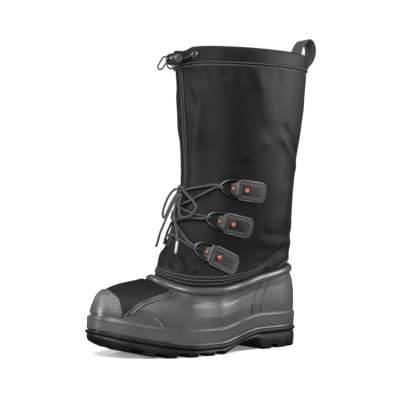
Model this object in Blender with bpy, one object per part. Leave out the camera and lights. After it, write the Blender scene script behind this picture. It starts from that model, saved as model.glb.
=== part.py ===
"""A tall pac boot for the left foot: woven shaft, rubber shell and lugged outsole.

Metres, +Z up. The toe points to -Y, the heel to +Y and the outer side of the foot to +X.
The floor is Z = 0 and the origin lies under the middle of the sole.
"""

import math
from collections import namedtuple

import bmesh
import bpy
from mathutils import Matrix, Vector

# Whole boot
LENGTH = 0.310
BALL_WIDTH = 0.118
SHELL_HEIGHT = 0.108
COLLAR_HEIGHT = 0.390
SHAFT_WIDTH = 0.126
GAP = 0.0003

# Outsole
HEEL_HEIGHT = 0.0268
FORE_THICKNESS = 0.0133
TOE_THICKNESS = 0.0110
TOE_SPRING = 0.0250
ARCH_RISE = 0.0140
HEEL_BEVEL = 0.0030
LIP_HEIGHT = 0.0052
SOLE_TAPER = 0.0024
LUG_DEPTH = 0.0055
GROOVE_WIDTH = 0.0180
GROOVE_REACH = 0.0300
CENTRE_GROOVE_WIDTH = 0.0080
CENTRE_GROOVE_HALF = 0.0190

# Walls and overlays
LEDGE = 0.0050
SHELL_WALL = 0.0030
SHAFT_WALL = 0.0020
RAND_STEP = 0.0020
BEAD_HEIGHT = 0.0100
BEAD_BULGE = 0.0032
TUCK_DEPTH = 0.0120
TUCK_GAP = 0.0006
SEWN_GAP = 0.00045
CUFF_HEIGHT = 0.0220
GATHER_DEPTH = 0.0070
GATHER_DROP = 0.0030
CUFF_BULGE = 0.0016
OVERLAY = 0.0012
RIDGE_WIDTH = 0.0060
RIDGE_RISE = 0.0020
RIDGE_CLEARANCE = 0.00015
SEAM_WIDTH = 0.0080
SEAM_RISE = 0.0009
INSOLE_THICKNESS = 0.0040

# Tabs, keepers, rings and rivets
TAB_LENGTH = 0.0385
TAB_HEIGHT = 0.0250
TAB_THICKNESS = 0.0024
TAB_CORNER = 0.0080
KEEPER_HEIGHT = 0.0170
KEEPER_TAPER = 0.0030
KEEPER_THICKNESS = 0.0014
RING_LENGTH = 0.0230
RING_HEIGHT = 0.0240
RING_WIRE = 0.0022
RING_TILT = 0.0026
TAB_RIVET = 0.0068
KEEPER_RIVET = 0.0048
RIVET_DOME = 0.0014

# Collar fittings
EYELET_OUTER = 0.0045
EYELET_HOLE = 0.0026
EYELET_RISE = 0.0010
EYELET_TURN = 21.5
CORD = 0.0022
BARREL_RADIUS = 0.0075
BARREL_LENGTH = 0.0190
BARREL_STANDOFF = 0.0044
BARREL_DROP = 0.0160
BARREL_SHIFT = 0.0015
BORE_RADIUS = 0.0060
BUTTON_RADIUS = 0.0057
BUTTON_STAND = 0.0045
BUTTON_TRAVEL = 0.0032
SLOT_WIDTH = 0.0044
SLOT_HEIGHT = 0.0050
WEB_WIDTH = 0.0230
WEB_THICKNESS = 0.0014

# Lace
LACE = 0.0032
KNOT_WIDTH = 0.0140
KNOT_DEPTH = 0.0104
KNOT_HEIGHT = 0.0120

SHAFT_RISE = COLLAR_HEIGHT - SHELL_HEIGHT
LACE_RADIUS = LACE / 2.0
CORD_RADIUS = CORD / 2.0

# Foot outline, seen from above. Station: share of LENGTH from the toe.
# Shift (to the outer side) and half: shares of BALL_WIDTH.
Outline = namedtuple("Outline", "station shift half")
OUTLINE = (
    Outline(0.00, -0.060, 0.430),
    Outline(0.12, -0.048, 0.455),
    Outline(0.25, -0.010, 0.490),
    Outline(0.36, 0.030, 0.500),
    Outline(0.50, 0.035, 0.445),
    Outline(0.62, 0.020, 0.392),
    Outline(0.75, 0.000, 0.378),
    Outline(0.88, 0.000, 0.378),
    Outline(1.00, 0.000, 0.365),
)
OUTLINE_POWER = 0.68

# Levels of the upper, from the sole to the collar. Front and back: shares of LENGTH from the
# middle of the sole. Rises: shares of SHELL_HEIGHT. Crown: how narrow the rise is in front.
# Follow: how far the level repeats the lip line of the sole. Lift: share of SHAFT_RISE.
# Width: share of the outline or of SHAFT_WIDTH. Oval: 0 on the foot outline, 1 on a plain
# oval. Power: how blunt the loop is at its ends.
Level = namedtuple(
    "Level", "front back front_rise side_rise back_rise crown follow lift width oval power"
)
LEVELS = (
    Level(-0.484, 0.489, 0.000, 0.000, 0.000, 2.0, 1.00, 0.00, 1.000, 0.0, 0.68),
    Level(-0.480, 0.494, 0.176, 0.185, 0.185, 2.0, 1.00, 0.00, 1.000, 0.0, 0.68),
    Level(-0.468, 0.497, 0.305, 0.299, 0.289, 2.0, 1.00, 0.00, 1.010, 0.0, 0.69),
    Level(-0.444, 0.498, 0.454, 0.363, 0.419, 2.0, 0.95, 0.00, 1.000, 0.0, 0.71),
    Level(-0.398, 0.495, 0.555, 0.430, 0.529, 2.3, 0.90, 0.00, 0.985, 0.0, 0.73),
    Level(-0.340, 0.491, 0.640, 0.480, 0.619, 2.8, 0.85, 0.00, 0.970, 0.0, 0.76),
    Level(-0.270, 0.484, 0.712, 0.525, 0.690, 3.5, 0.80, 0.00, 0.970, 0.0, 0.80),
    Level(-0.228, 0.478, 0.762, 0.590, 0.755, 4.5, 0.75, 0.00, 0.980, 0.0, 0.85),
    Level(-0.205, 0.477, 0.820, 0.693, 0.853, 6.0, 0.70, 0.00, 1.000, 0.1, 0.90),
    Level(-0.189, 0.474, 0.960, 0.880, 1.018, 4.0, 0.45, 0.00, 0.850, 0.5, 0.95),
    Level(-0.163, 0.478, 0.889, 0.839, 0.958, 2.5, 0.20, 0.10, 0.780, 0.8, 1.00),
    Level(-0.126, 0.480, 0.927, 0.918, 1.000, 2.0, 0.00, 0.17, 0.800, 1.0, 1.00),
    Level(-0.090, 0.479, 0.917, 0.907, 0.981, 2.0, 0.00, 0.28, 0.860, 1.0, 1.00),
    Level(-0.060, 0.482, 0.917, 0.917, 0.954, 2.0, 0.00, 0.39, 0.910, 1.0, 1.00),
    Level(-0.056, 0.496, 0.930, 0.930, 0.958, 2.0, 0.00, 0.53, 0.950, 1.0, 1.00),
    Level(-0.064, 0.521, 0.944, 0.944, 0.955, 2.0, 0.00, 0.66, 0.975, 1.0, 1.00),
    Level(-0.072, 0.539, 0.956, 0.956, 0.965, 2.0, 0.00, 0.79, 0.990, 1.0, 1.00),
    Level(-0.082, 0.554, 0.969, 0.969, 0.975, 2.0, 0.00, 0.92, 1.000, 1.0, 1.00),
    Level(-0.086, 0.556, 1.000, 0.990, 1.007, 2.0, 0.00, 1.00, 1.000, 1.0, 1.00),
)
CREST_TURN = math.radians(8.0)
GATHER_TURN = math.radians(14.0)
GATHER_LEVEL = 17.1
REAR_CROWN = 1.3
RAND_LEVEL = 1.0
SHELL_LEVEL = 8.0
COLLAR_LEVEL = 18.0
TURNS = 44
TURN_STEP = math.tau / TURNS

# Tabs from the top down: level and turn (degrees from the toe) of the tab's centre, and its tilt
Tab = namedtuple("Tab", "name level turn tilt")
TABS = (
    Tab("upper", 12.90, 77.5, 7.0),
    Tab("middle", 11.50, 72.0, 11.5),
    Tab("lower", 9.82, 68.5, 26.0),
)
SIDES = (("outer", 1), ("inner", -1))

# Finishes: colour, roughness, metallic
RUBBER = ("boot_rubber", (0.030, 0.030, 0.031), 0.42, 0.0)
TREAD = ("sole_rubber", (0.024, 0.024, 0.025), 0.55, 0.0)
NYLON = ("woven_nylon", (0.028, 0.028, 0.029), 0.85, 0.0)
LEATHER = ("tab_leather", (0.020, 0.020, 0.021), 0.45, 0.0)
FELT = ("insole_felt", (0.100, 0.100, 0.100), 0.95, 0.0)
STEEL = ("grey_steel", (0.300, 0.300, 0.300), 0.35, 1.0)
SIGNAL = ("orange_enamel", (0.650, 0.100, 0.050), 0.35, 0.0)
PLASTIC = ("lock_plastic", (0.018, 0.018, 0.018), 0.25, 0.0)
BRAID = ("black_braid", (0.022, 0.022, 0.022), 0.80, 0.0)
WEBBING = ("black_webbing", (0.018, 0.018, 0.018), 0.80, 0.0)


def ease(share):
    """Smooth rise from 0 to 1 over a share, held between 0 and 1."""
    share = min(max(share, 0.0), 1.0)
    return share * share * (3.0 - 2.0 * share)


def cubic(before, start, end, after, share):
    """Value on the smooth curve through four evenly spaced values, between the middle two."""
    slope_in = (end - before) / 2.0
    slope_out = (after - start) / 2.0
    square = share * share
    cube = square * share
    return (
        start * (2.0 * cube - 3.0 * square + 1.0)
        + slope_in * (cube - 2.0 * square + share)
        + end * (3.0 * square - 2.0 * cube)
        + slope_out * (cube - square)
    )


def station_of(y):
    """Share of LENGTH from the toe."""
    return min(max(y / LENGTH + 0.5, 0.0), 1.0)


def outline_at(y):
    """Sideways shift and half width of the foot outline at a place along the foot."""
    station = station_of(y)
    index = 0
    while index < len(OUTLINE) - 2 and station > OUTLINE[index + 1].station:
        index += 1
    here, there = OUTLINE[index], OUTLINE[index + 1]
    share = ease((station - here.station) / (there.station - here.station))
    share = 0.5 * share + 0.5 * (station - here.station) / (there.station - here.station)
    shift = here.shift + (there.shift - here.shift) * share
    half = here.half + (there.half - here.half) * share
    return shift * BALL_WIDTH, half * BALL_WIDTH


def lip_height(y):
    """Height of the outsole's lip, which the shell stands on."""
    spring_end, shank_start, shank_end = 0.40, 0.49, 0.75
    station = station_of(y)
    spring = TOE_SPRING + TOE_THICKNESS - FORE_THICKNESS
    toe = spring * max(0.0, (spring_end - station) / spring_end) ** 1.5
    shank = (HEEL_HEIGHT - FORE_THICKNESS) * ease((station - shank_start) / (shank_end - shank_start))
    return FORE_THICKNESS + toe + shank


SPRING_END = 0.27
ARCH_START = 0.515
BREAST_TOP = 0.713
BREAST_FOOT = 0.755
BEVEL_START = 0.968


def seat_height(y):
    """The lip line as straight chords between the turns that all loops share."""
    half = LEVELS[0].back * LENGTH
    share = min(max(-y / half, -1.0), 1.0)
    column = math.acos(share) / TURN_STEP
    index = min(int(math.floor(column + 1.0e-9)), TURNS // 2 - 1)
    here, there = (-half * math.cos(TURN_STEP * (index + step)) for step in (0, 1))
    part = (y - here) / (there - here)
    return lip_height(here) + (lip_height(there) - lip_height(here)) * part


def tread_height(y):
    """Height of the underside of the outsole, before its grooves are cut."""
    station = station_of(y)
    if station < SPRING_END:
        return TOE_SPRING * ((SPRING_END - station) / SPRING_END) ** 1.8
    if station < ARCH_START:
        return 0.0
    if station < BREAST_TOP:
        left = 1.0 - (station - ARCH_START) / (BREAST_TOP - ARCH_START)
        return ARCH_RISE * (1.0 - left * left)
    if station < BREAST_FOOT:
        return ARCH_RISE * (BREAST_FOOT - station) / (BREAST_FOOT - BREAST_TOP)
    return HEEL_BEVEL * max(0.0, (station - BEVEL_START) / (1.0 - BEVEL_START))


def bulge_out(turn, power):
    """Sideways share of a loop at a turn: 0 at the toe and the heel, 1 beside them."""
    sine = math.sin(turn)
    return math.copysign(abs(sine) ** power, sine)


def level_at(place):
    """The smooth row of LEVELS at a level between two rows."""
    index = min(max(int(math.floor(place)), 0), len(LEVELS) - 2)
    share = place - index
    rows = [LEVELS[min(max(index + step, 0), len(LEVELS) - 1)] for step in (-1, 0, 1, 2)]
    return Level(*(cubic(*column, share) for column in zip(*rows)))


def skin(place, turn):
    """Point of the outer surface of the upper at a level and a turn."""
    row = level_at(place)
    cosine = math.cos(turn)
    y = LENGTH * ((row.front + row.back) / 2.0 - cosine * (row.back - row.front) / 2.0)
    shift, half = outline_at(y)
    foot_half = (half - LEDGE) * row.width
    oval_half = SHAFT_WIDTH / 2.0 * row.width
    half = foot_half + (oval_half - foot_half) * row.oval
    x = shift * (1.0 - row.oval) + half * bulge_out(turn, row.power)
    ahead = max(math.cos(turn + CREST_TURN), 0.0) ** row.crown
    behind = max(-cosine, 0.0) ** REAR_CROWN
    rise = row.side_rise
    rise += (row.front_rise - row.side_rise) * ahead + (row.back_rise - row.side_rise) * behind
    z = row.follow * lip_height(y) + rise * SHELL_HEIGHT + row.lift * SHAFT_RISE
    if place > GATHER_LEVEL:
        share = ease((place - GATHER_LEVEL) / (COLLAR_LEVEL - GATHER_LEVEL))
        share *= math.exp(-((math.remainder(turn, math.tau) / GATHER_TURN) ** 2))
        y += GATHER_DEPTH * share
        z -= GATHER_DROP * share
    return Vector((x, y, z))


def skin_frame(place, turn):
    """Point of the upper, and its unit directions rearwards, upwards and outwards."""
    step = 0.02
    point = skin(place, turn)
    around = (skin(place, turn + step) - skin(place, turn - step)).normalized()
    upward = skin(min(place + step, COLLAR_LEVEL), turn) - skin(max(place - step, 0.0), turn)
    outward = around.cross(upward).normalized()
    return point, around, outward.cross(around), outward


def on_skin(place, turn, offset):
    """Point at a distance out from the upper's surface."""
    point, _, _, outward = skin_frame(place, turn)
    return point + outward * offset


def level_below(top, turn, distance):
    """Level that lies at a distance down the surface from a higher level."""
    step = 0.02
    place, walked = top, 0.0
    point = skin(place, turn)
    while walked < distance and place > RAND_LEVEL:
        lower = skin(place - step, turn)
        stride = (lower - point).length
        if walked + stride > distance:
            return place - step * (distance - walked) / stride
        walked += stride
        place -= step
        point = lower
    return place


def level_at_height(height, turn):
    """Level of the shaft at which the surface reaches a height."""
    low, high = SHELL_LEVEL, COLLAR_LEVEL
    for _ in range(30):
        middle = (low + high) / 2.0
        if skin(middle, turn).z < height:
            low = middle
        else:
            high = middle
    return (low + high) / 2.0


def new_material(finish):
    """Principled material of a finish, made once."""
    name, colour, roughness, metallic = finish
    material = bpy.data.materials.get(name)
    if material is None:
        material = bpy.data.materials.new(name)
        material.use_nodes = True
        shader = material.node_tree.nodes["Principled BSDF"]
        shader.inputs["Base Color"].default_value = (*colour, 1.0)
        shader.inputs["Roughness"].default_value = roughness
        shader.inputs["Metallic"].default_value = metallic
        material.diffuse_color = (*colour, 1.0)
    return material


def add_object(name, mesh, finish, sharp_degrees=40.0):
    """Object of a mesh in the boot's collection, with its material and smooth shading."""
    mesh.name = name
    mesh.materials.clear()
    mesh.materials.append(new_material(finish))
    mesh.shade_smooth()
    mesh.set_sharp_from_angle(angle=math.radians(sharp_degrees))
    item = bpy.data.objects.new(name, mesh)
    BOOT.objects.link(item)
    return item


def mesh_of(points, faces):
    """Closed mesh of points and faces, its faces turned outwards."""
    mesh = bpy.data.meshes.new("shape")
    mesh.from_pydata([tuple(point) for point in points], [], faces)
    shape = bmesh.new()
    shape.from_mesh(mesh)
    bmesh.ops.remove_doubles(shape, verts=shape.verts, dist=1.0e-6)
    bmesh.ops.recalc_face_normals(shape, faces=shape.faces)
    shape.to_mesh(mesh)
    shape.free()
    return mesh


def wall_mesh(loops):
    """Ring-shaped wall from closed loops that go up its outside and down its inside."""
    count = len(loops[0])
    points = [point for loop in loops for point in loop]
    faces = []
    for row in range(len(loops)):
        above = (row + 1) % len(loops)
        for column in range(count):
            beside = (column + 1) % count
            faces.append(
                (
                    row * count + column,
                    row * count + beside,
                    above * count + beside,
                    above * count + column,
                )
            )
    return mesh_of(points, faces)


def plate_mesh(loops):
    """Solid from closed loops, bottom to top, with a ladder of faces across both ends."""
    count = len(loops[0])
    points = [point for loop in loops for point in loop]
    faces = []
    for row in range(len(loops) - 1):
        for column in range(count):
            beside = (column + 1) % count
            low, high = row * count, (row + 1) * count
            faces.append((low + column, low + beside, high + beside, high + column))
    top = (len(loops) - 1) * count
    for step in range(count // 2):
        corners = (step, step + 1, count - step - 1, (count - step) % count)
        corners = tuple(dict.fromkeys(corners))
        faces.append(tuple(top + corner for corner in corners))
        faces.append(tuple(reversed(corners)))
    return mesh_of(points, faces)


def pad_mesh(low, high):
    """Solid between two sheets, each a list of rows with as many points."""
    rows, columns = len(low), len(low[0])
    points = [point for row in low for point in row] + [point for row in high for point in row]
    shift = rows * columns
    faces = []
    for row in range(rows - 1):
        for column in range(columns - 1):
            corner = row * columns + column
            quad = (corner, corner + 1, corner + columns + 1, corner + columns)
            faces.append(quad)
            faces.append(tuple(shift + quad[index] for index in (0, 3, 2, 1)))
    border = [column for column in range(columns)]
    border += [row * columns + columns - 1 for row in range(1, rows)]
    border += [(rows - 1) * columns + column for column in range(columns - 2, -1, -1)]
    border += [row * columns for row in range(rows - 2, 0, -1)]
    for here, there in zip(border, border[1:] + border[:1]):
        faces.append((here, there, shift + there, shift + here))
    return mesh_of(points, faces)


def apply_boolean(item, cutter, operation):
    """Cut an object by another, or join them, and remove the other."""
    change = item.modifiers.new(operation.lower(), "BOOLEAN")
    change.operation = operation
    change.object = cutter
    change.solver = "EXACT"
    bpy.context.view_layer.update()
    evaluated = item.evaluated_get(bpy.context.evaluated_depsgraph_get())
    result = bpy.data.meshes.new_from_object(evaluated)
    item.modifiers.remove(change)
    item.data = result
    bpy.data.objects.remove(cutter)


def sole_turns():
    """Turns of the outsole's loops: even steps, and the two edges of the heel's breast."""
    count = TURNS // 2
    breast = [math.acos(1.0 - 2.0 * station) for station in (BREAST_TOP, BREAST_FOOT)]
    even = [math.pi * step / count for step in range(count + 1)]
    kept = [turn for turn in even if all(abs(turn - edge) > 0.04 for edge in breast)]
    half = sorted(kept + breast)
    return half + [-turn for turn in reversed(half[1:-1])]


def outline_loop(turns, inset, height):
    """Closed loop on the foot outline, pulled in by inset, at a height that follows y."""
    loop = []
    for turn in turns:
        y = -(LENGTH / 2.0 - inset) * math.cos(turn)
        shift, half = outline_at(y)
        x = shift + (half - inset) * bulge_out(turn, OUTLINE_POWER)
        loop.append(Vector((x, y, height(y))))
    return loop


def groove(y, near, far, width, depth):
    """Cutter of one tread groove: a bar that narrows upwards and follows the tread's slope."""
    shape = bmesh.new()
    bmesh.ops.create_cube(shape, size=1.0)
    under = 0.004
    narrow = 0.72
    for vert in shape.verts:
        share = 1.0 if vert.co.z < 0.0 else narrow
        vert.co.x = far if vert.co.x > 0.0 else near
        vert.co.y *= width * share
        vert.co.z = depth if vert.co.z > 0.0 else -under
    step = 0.002
    slope = math.atan2(tread_height(y + step) - tread_height(y - step), 2.0 * step)
    place = Matrix.Translation((0.0, y, tread_height(y))) @ Matrix.Rotation(slope, 4, "X")
    bmesh.ops.transform(shape, matrix=place, verts=shape.verts)
    return shape


# Places of the tread grooves along the foot, as stations
SIDE_GROOVES = (0.135, 0.222, 0.309, 0.396, 0.483)
CENTRE_GROOVES = (0.178, 0.2655, 0.3525, 0.4395)
HEEL_GROOVES = (0.822, 0.915)
HEEL_GROOVE_WIDTHS = (0.016, 0.007)


def build_outsole():
    """Outsole: shaped plate with toe spring, arch, heel, lip and grooved lugs."""
    turns = sole_turns()

    def above_tread(share):
        return lambda y: tread_height(y) + (lip_height(y) - LIP_HEIGHT - tread_height(y)) * share

    def below_lip(drop):
        return lambda y: lip_height(y) - drop

    loops = [
        outline_loop(turns, SOLE_TAPER, above_tread(0.0)),
        outline_loop(turns, SOLE_TAPER * 0.5, above_tread(0.6)),
        outline_loop(turns, SOLE_TAPER, above_tread(0.92)),
        outline_loop(turns, SOLE_TAPER * 0.2, below_lip(LIP_HEIGHT * 0.85)),
        outline_loop(turns, 0.0, below_lip(LIP_HEIGHT * 0.5)),
        outline_loop(turns, SOLE_TAPER * 0.4, below_lip(LIP_HEIGHT * 0.12)),
        outline_loop(turns, LEDGE - RAND_STEP, seat_height),
    ]
    outsole = add_object("outsole", plate_mesh(loops), TREAD, 30.0)
    cutters = bmesh.new()
    reach_out = BALL_WIDTH
    bars = []
    for station in SIDE_GROOVES:
        for side in (1.0, -1.0):
            edge = BALL_WIDTH / 2.0 - GROOVE_REACH
            bars.append((station, side * edge, side * reach_out, GROOVE_WIDTH))
    for station in CENTRE_GROOVES:
        bars.append((station, -CENTRE_GROOVE_HALF, CENTRE_GROOVE_HALF, CENTRE_GROOVE_WIDTH))
    for station, width in zip(HEEL_GROOVES, HEEL_GROOVE_WIDTHS):
        for side in (1.0, -1.0):
            edge = BALL_WIDTH / 2.0 - GROOVE_REACH - CENTRE_GROOVE_WIDTH
            bars.append((station, side * edge, side * reach_out, width))
    for station, near, far, width in bars:
        y = (station - 0.5) * LENGTH
        bar = groove(y, min(near, far), max(near, far), width, LUG_DEPTH)
        piece = bpy.data.meshes.new("bar")
        bar.to_mesh(piece)
        bar.free()
        cutters.from_mesh(piece)
        bpy.data.meshes.remove(piece)
    bmesh.ops.recalc_face_normals(cutters, faces=cutters.faces)
    mesh = bpy.data.meshes.new("grooves")
    cutters.to_mesh(mesh)
    cutters.free()
    cutter = bpy.data.objects.new("grooves", mesh)
    CUTTERS.objects.link(cutter)
    apply_boolean(outsole, cutter, "DIFFERENCE")


def build_insole():
    """Insole: a flat pad on the outsole, just inside the shell."""
    turns = [TURN_STEP * step for step in range(TURNS)]
    inset = LEDGE + SHELL_WALL + 3.0 * GAP
    low = outline_loop(turns, inset, lambda y: seat_height(y) + SEWN_GAP)
    high = outline_loop(turns, inset, lambda y: seat_height(y) + SEWN_GAP + INSOLE_THICKNESS)
    add_object("insole", plate_mesh([low, high]), FELT)


def rand_offset(place):
    """How far the shell's outer face stands off the upper's surface near the rand."""
    edge = 0.07
    return RAND_STEP * min(max((RAND_LEVEL - place) / edge, 0.0), 1.0)


BODY_ROWS = 11


def bead_foot(turn):
    """Level of the lower edge of the rolled bead."""
    return level_below(SHELL_LEVEL, turn, BEAD_HEIGHT)


def body_level(share, turn):
    """Level at a share of the way from the rand's top to the bead's lower edge."""
    return RAND_LEVEL + (bead_foot(turn) - RAND_LEVEL) * share


def all_turns():
    """Turns of the upper's loops."""
    return [TURN_STEP * step for step in range(TURNS)]


def loop_at(place, offset):
    """Loop of the upper at a level, or at a level that a function gives for each turn."""
    pick = place if callable(place) else (lambda turn: place)
    return [on_skin(pick(turn), turn, offset) for turn in all_turns()]


def seated(loop):
    """The same loop, dropped on the outsole's lip."""
    return [Vector((point.x, point.y, seat_height(point.y) + GAP)) for point in loop]


def build_shell():
    """Rubber shell: rand step, body and rolled bead, open above and below."""
    loops = [seated(loop_at(0.0, RAND_STEP))]
    for place in (0.5, 0.93, 1.0):
        loops.append(loop_at(place, rand_offset(place)))
    for step in range(1, BODY_ROWS):
        share = step / BODY_ROWS
        loops.append(loop_at(lambda turn: body_level(share, turn), 0.0))
    for share, bulge in ((1.0, 0.0), (0.93, 0.55), (0.72, 0.93), (0.42, 0.97), (0.15, 0.60)):
        loops.append(
            loop_at(
                lambda turn: level_below(SHELL_LEVEL, turn, BEAD_HEIGHT * share),
                BEAD_BULGE * bulge,
            )
        )
    loops.append(loop_at(SHELL_LEVEL, 0.0))
    loops.append(loop_at(SHELL_LEVEL, -SHELL_WALL))
    loops.append(loop_at(lambda turn: level_below(SHELL_LEVEL, turn, TUCK_DEPTH), -SHELL_WALL))
    for share in (0.7, 0.5, 0.35, 0.2, 0.1):
        loops.append(loop_at(lambda turn: body_level(share, turn), -SHELL_WALL))
    loops.append(loop_at(0.5, -SHELL_WALL))
    loops.append(seated(loop_at(0.0, -SHELL_WALL)))
    add_object("rubber_shell", wall_mesh(loops), RUBBER)


def cuff_foot(turn):
    """Level of the seam under the collar's cuff."""
    return level_below(COLLAR_LEVEL, turn, CUFF_HEIGHT)


def cuff_level(drop):
    """Function of the turn: level at a drop under the rim."""
    return lambda turn: level_below(COLLAR_LEVEL, turn, drop)


def shaft_levels():
    """Levels of the shaft's outer loops between the bead and the cuff."""
    return [8.3, 8.6, 8.9, 9.3, 9.8, 10.4, 11.0, 11.6, 12.3, 13.0, 14.0, 15.5, 17.0]


def shaft_offset(place):
    """The shaft starts inside the shell and comes out to the surface above the bead."""
    inside = SHELL_WALL + TUCK_GAP
    return -inside * (1.0 - ease((place - SHELL_LEVEL) / 0.75))


def build_shaft():
    """Woven shaft: a tube that is tucked into the shell and ends in the collar's cuff."""
    inside = SHELL_WALL + TUCK_GAP

    def tucked(turn):
        return level_below(SHELL_LEVEL, turn, TUCK_DEPTH)

    loops = [loop_at(tucked, -inside), loop_at(SHELL_LEVEL, -inside)]
    loops += [loop_at(place, shaft_offset(place)) for place in shaft_levels()]
    for share, bulge in ((1.0, 0.0), (0.94, 0.75), (0.55, 1.0), (0.10, 0.85), (0.0, 0.30)):
        loops.append(loop_at(cuff_level(CUFF_HEIGHT * share), CUFF_BULGE * bulge))
    loops.append(loop_at(COLLAR_LEVEL, -SHAFT_WALL))
    loops.append(loop_at(cuff_level(CUFF_HEIGHT), -SHAFT_WALL))
    for place in reversed(shaft_levels()[:-1]):
        loops.append(loop_at(place, shaft_offset(place) - SHAFT_WALL))
    loops.append(loop_at(SHELL_LEVEL, -inside - SHAFT_WALL))
    loops.append(loop_at(tucked, -inside - SHAFT_WALL))
    add_object("shaft", wall_mesh(loops), NYLON)


def shell_grid_point(share, column, offset):
    """Point off the shell's own facets: share up the body, column in steps of a turn."""
    row = share * BODY_ROWS
    low_row, low_column = int(math.floor(row)), int(math.floor(column))
    total = Vector((0.0, 0.0, 0.0))
    for row_step, row_part in ((0, 1.0 - row + low_row), (1, row - low_row)):
        for column_step, part in ((0, 1.0 - column + low_column), (1, column - low_column)):
            weight = row_part * part
            if weight > 0.0:
                turn = TURN_STEP * (low_column + column_step)
                place = body_level((low_row + row_step) / BODY_ROWS, turn)
                total += on_skin(place, turn, offset) * weight
    return total


def layer_mesh(shares, columns, base, rise):
    """Layer on the shell's own facets, over rows of its body and columns of its turns."""
    low = [[shell_grid_point(share, column, base) for column in columns] for share in shares]
    high = [
        [shell_grid_point(share, column, base + rise) for column in columns] for share in shares
    ]
    return pad_mesh(low, high)


def prism_cutter(corners, axis, low, high):
    """Cutter from a flat outline, drawn out along an axis."""
    shape = bmesh.new()
    rings = []
    for depth in (low, high):
        ring = []
        for corner in corners:
            point = list(corner)
            point.insert(axis, depth)
            ring.append(shape.verts.new(point))
        rings.append(ring)
    for index in range(len(corners)):
        beside = (index + 1) % len(corners)
        pair = (rings[0][index], rings[0][beside], rings[1][beside], rings[1][index])
        shape.faces.new(pair)
    shape.faces.new(rings[0])
    shape.faces.new(rings[1])
    bmesh.ops.recalc_face_normals(shape, faces=shape.faces)
    mesh = bpy.data.meshes.new("prism")
    shape.to_mesh(mesh)
    shape.free()
    cutter = bpy.data.objects.new("prism", mesh)
    CUTTERS.objects.link(cutter)
    return cutter


# Rear edge of the toe cap seen from above: x and y as shares of BALL_WIDTH and LENGTH
CAP_EDGE = (
    (-0.60, -0.400),
    (-0.32, -0.404),
    (-0.12, -0.417),
    (0.06, -0.424),
    (0.18, -0.414),
    (0.28, -0.402),
    (0.60, -0.400),
)


def build_toe_cap():
    """Toe cap: layer on the front of the shell, above the rand."""
    shares = [step / BODY_ROWS for step in (0.3, 1, 2, 3, 4, 5, 6)]
    item = add_object("toe_cap", layer_mesh(shares, range(-8, 9), GAP, OVERLAY), RUBBER)
    edge = [(x * BALL_WIDTH, y * LENGTH) for x, y in CAP_EDGE]
    front = -0.6 * LENGTH
    corners = [(edge[0][0], front)] + edge + [(edge[-1][0], front)]
    apply_boolean(item, prism_cutter(corners, 2, -LENGTH, LENGTH), "INTERSECT")


# Vamp ridge from the throat to the rand: share up the shell's body, and turn in degrees
Way = namedtuple("Way", "share turn")
RIDGES = {
    1: (
        Way(0.965, 30.5),
        Way(0.72, 36.5),
        Way(0.57, 39.0),
        Way(0.38, 40.0),
        Way(0.20, 37.5),
        Way(0.075, 34.5),
    ),
    -1: (
        Way(0.965, 16.0),
        Way(0.72, 19.0),
        Way(0.57, 21.0),
        Way(0.42, 24.0),
    ),
}


def build_ridge(name, side):
    """Raised seam from the throat down to the rand, on one side of the vamp."""
    low, high = [], []
    ways = []
    route = RIDGES[side]
    for here, there in zip(route, route[1:]):
        ways += [here, Way((here.share + there.share) / 2.0, (here.turn + there.turn) / 2.0)]
    ways.append(route[-1])
    base = GAP + RIDGE_CLEARANCE
    for index, way in enumerate(ways):
        column = side * math.radians(way.turn) / TURN_STEP
        here = shell_grid_point(way.share, column, 0.0)
        beside = shell_grid_point(way.share, column + 0.25 * side, 0.0)
        span = 0.25 * RIDGE_WIDTH / 2.0 / (beside - here).length
        end = index in (0, len(ways) - 1)
        low_row, high_row = [], []
        for across in (-1.0, -0.45, 0.45, 1.0):
            rise = RIDGE_RISE * (1.0 if abs(across) < 0.9 else 0.3) * (0.4 if end else 1.0)
            place = column + span * across
            low_row.append(shell_grid_point(way.share, place, base))
            high_row.append(shell_grid_point(way.share, place, base + rise))
        low.append(low_row)
        high.append(high_row)
    add_object(name, pad_mesh(low, high), RUBBER)


BUMPER_COLUMNS = 9
WING_FRONT = -0.352
BUMPER_LEVELS = (0.12, 0.5, 0.88)
# Rear edge of the bumper, seen from the side: y as a share of LENGTH, and height over the
# floor as a share of SHELL_HEIGHT. Its upper part lies on the shell above the rand.
BUMPER_EDGE = (
    (-0.230, 0.150),
    (-0.243, 0.215),
    (-0.255, 0.315),
    (-0.268, 0.380),
    (-0.300, 0.480),
    (-0.322, 0.525),
    (-0.340, 0.545),
)


def bumper_outline(front):
    """Outline of the bumper or a wing in side view: its rear edge and a front line."""
    edge = [(y * LENGTH, z * SHELL_HEIGHT) for y, z in BUMPER_EDGE]
    return [(front, 0.0), (edge[0][0], 0.0)] + edge + [(front, edge[-1][1])]


def build_toe_bumper():
    """Toe bumper: layer on the rand round the toe, with a slanting rear edge."""
    turns = [TURN_STEP * column for column in range(-BUMPER_COLUMNS, BUMPER_COLUMNS + 1)]

    def sheet(offset):
        return [[on_skin(place, turn, offset) for turn in turns] for place in BUMPER_LEVELS]

    base = RAND_STEP + GAP
    item = add_object("toe_bumper", pad_mesh(sheet(base), sheet(base + OVERLAY)), RUBBER)
    corners = bumper_outline(-0.6 * LENGTH)
    apply_boolean(item, prism_cutter(corners, 0, -LENGTH, LENGTH), "INTERSECT")


def build_wing(name, side):
    """Wing of the toe bumper: layer on the shell above the rand, behind the vamp ridge."""
    shares = [step / BODY_ROWS for step in (0.35, 1, 2, 3)]
    columns = sorted(side * column for column in range(4, 9))
    item = add_object(name, layer_mesh(shares, columns, GAP, OVERLAY), RUBBER)
    corners = bumper_outline(WING_FRONT * LENGTH)
    apply_boolean(item, prism_cutter(corners, 0, -LENGTH, LENGTH), "INTERSECT")


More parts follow.
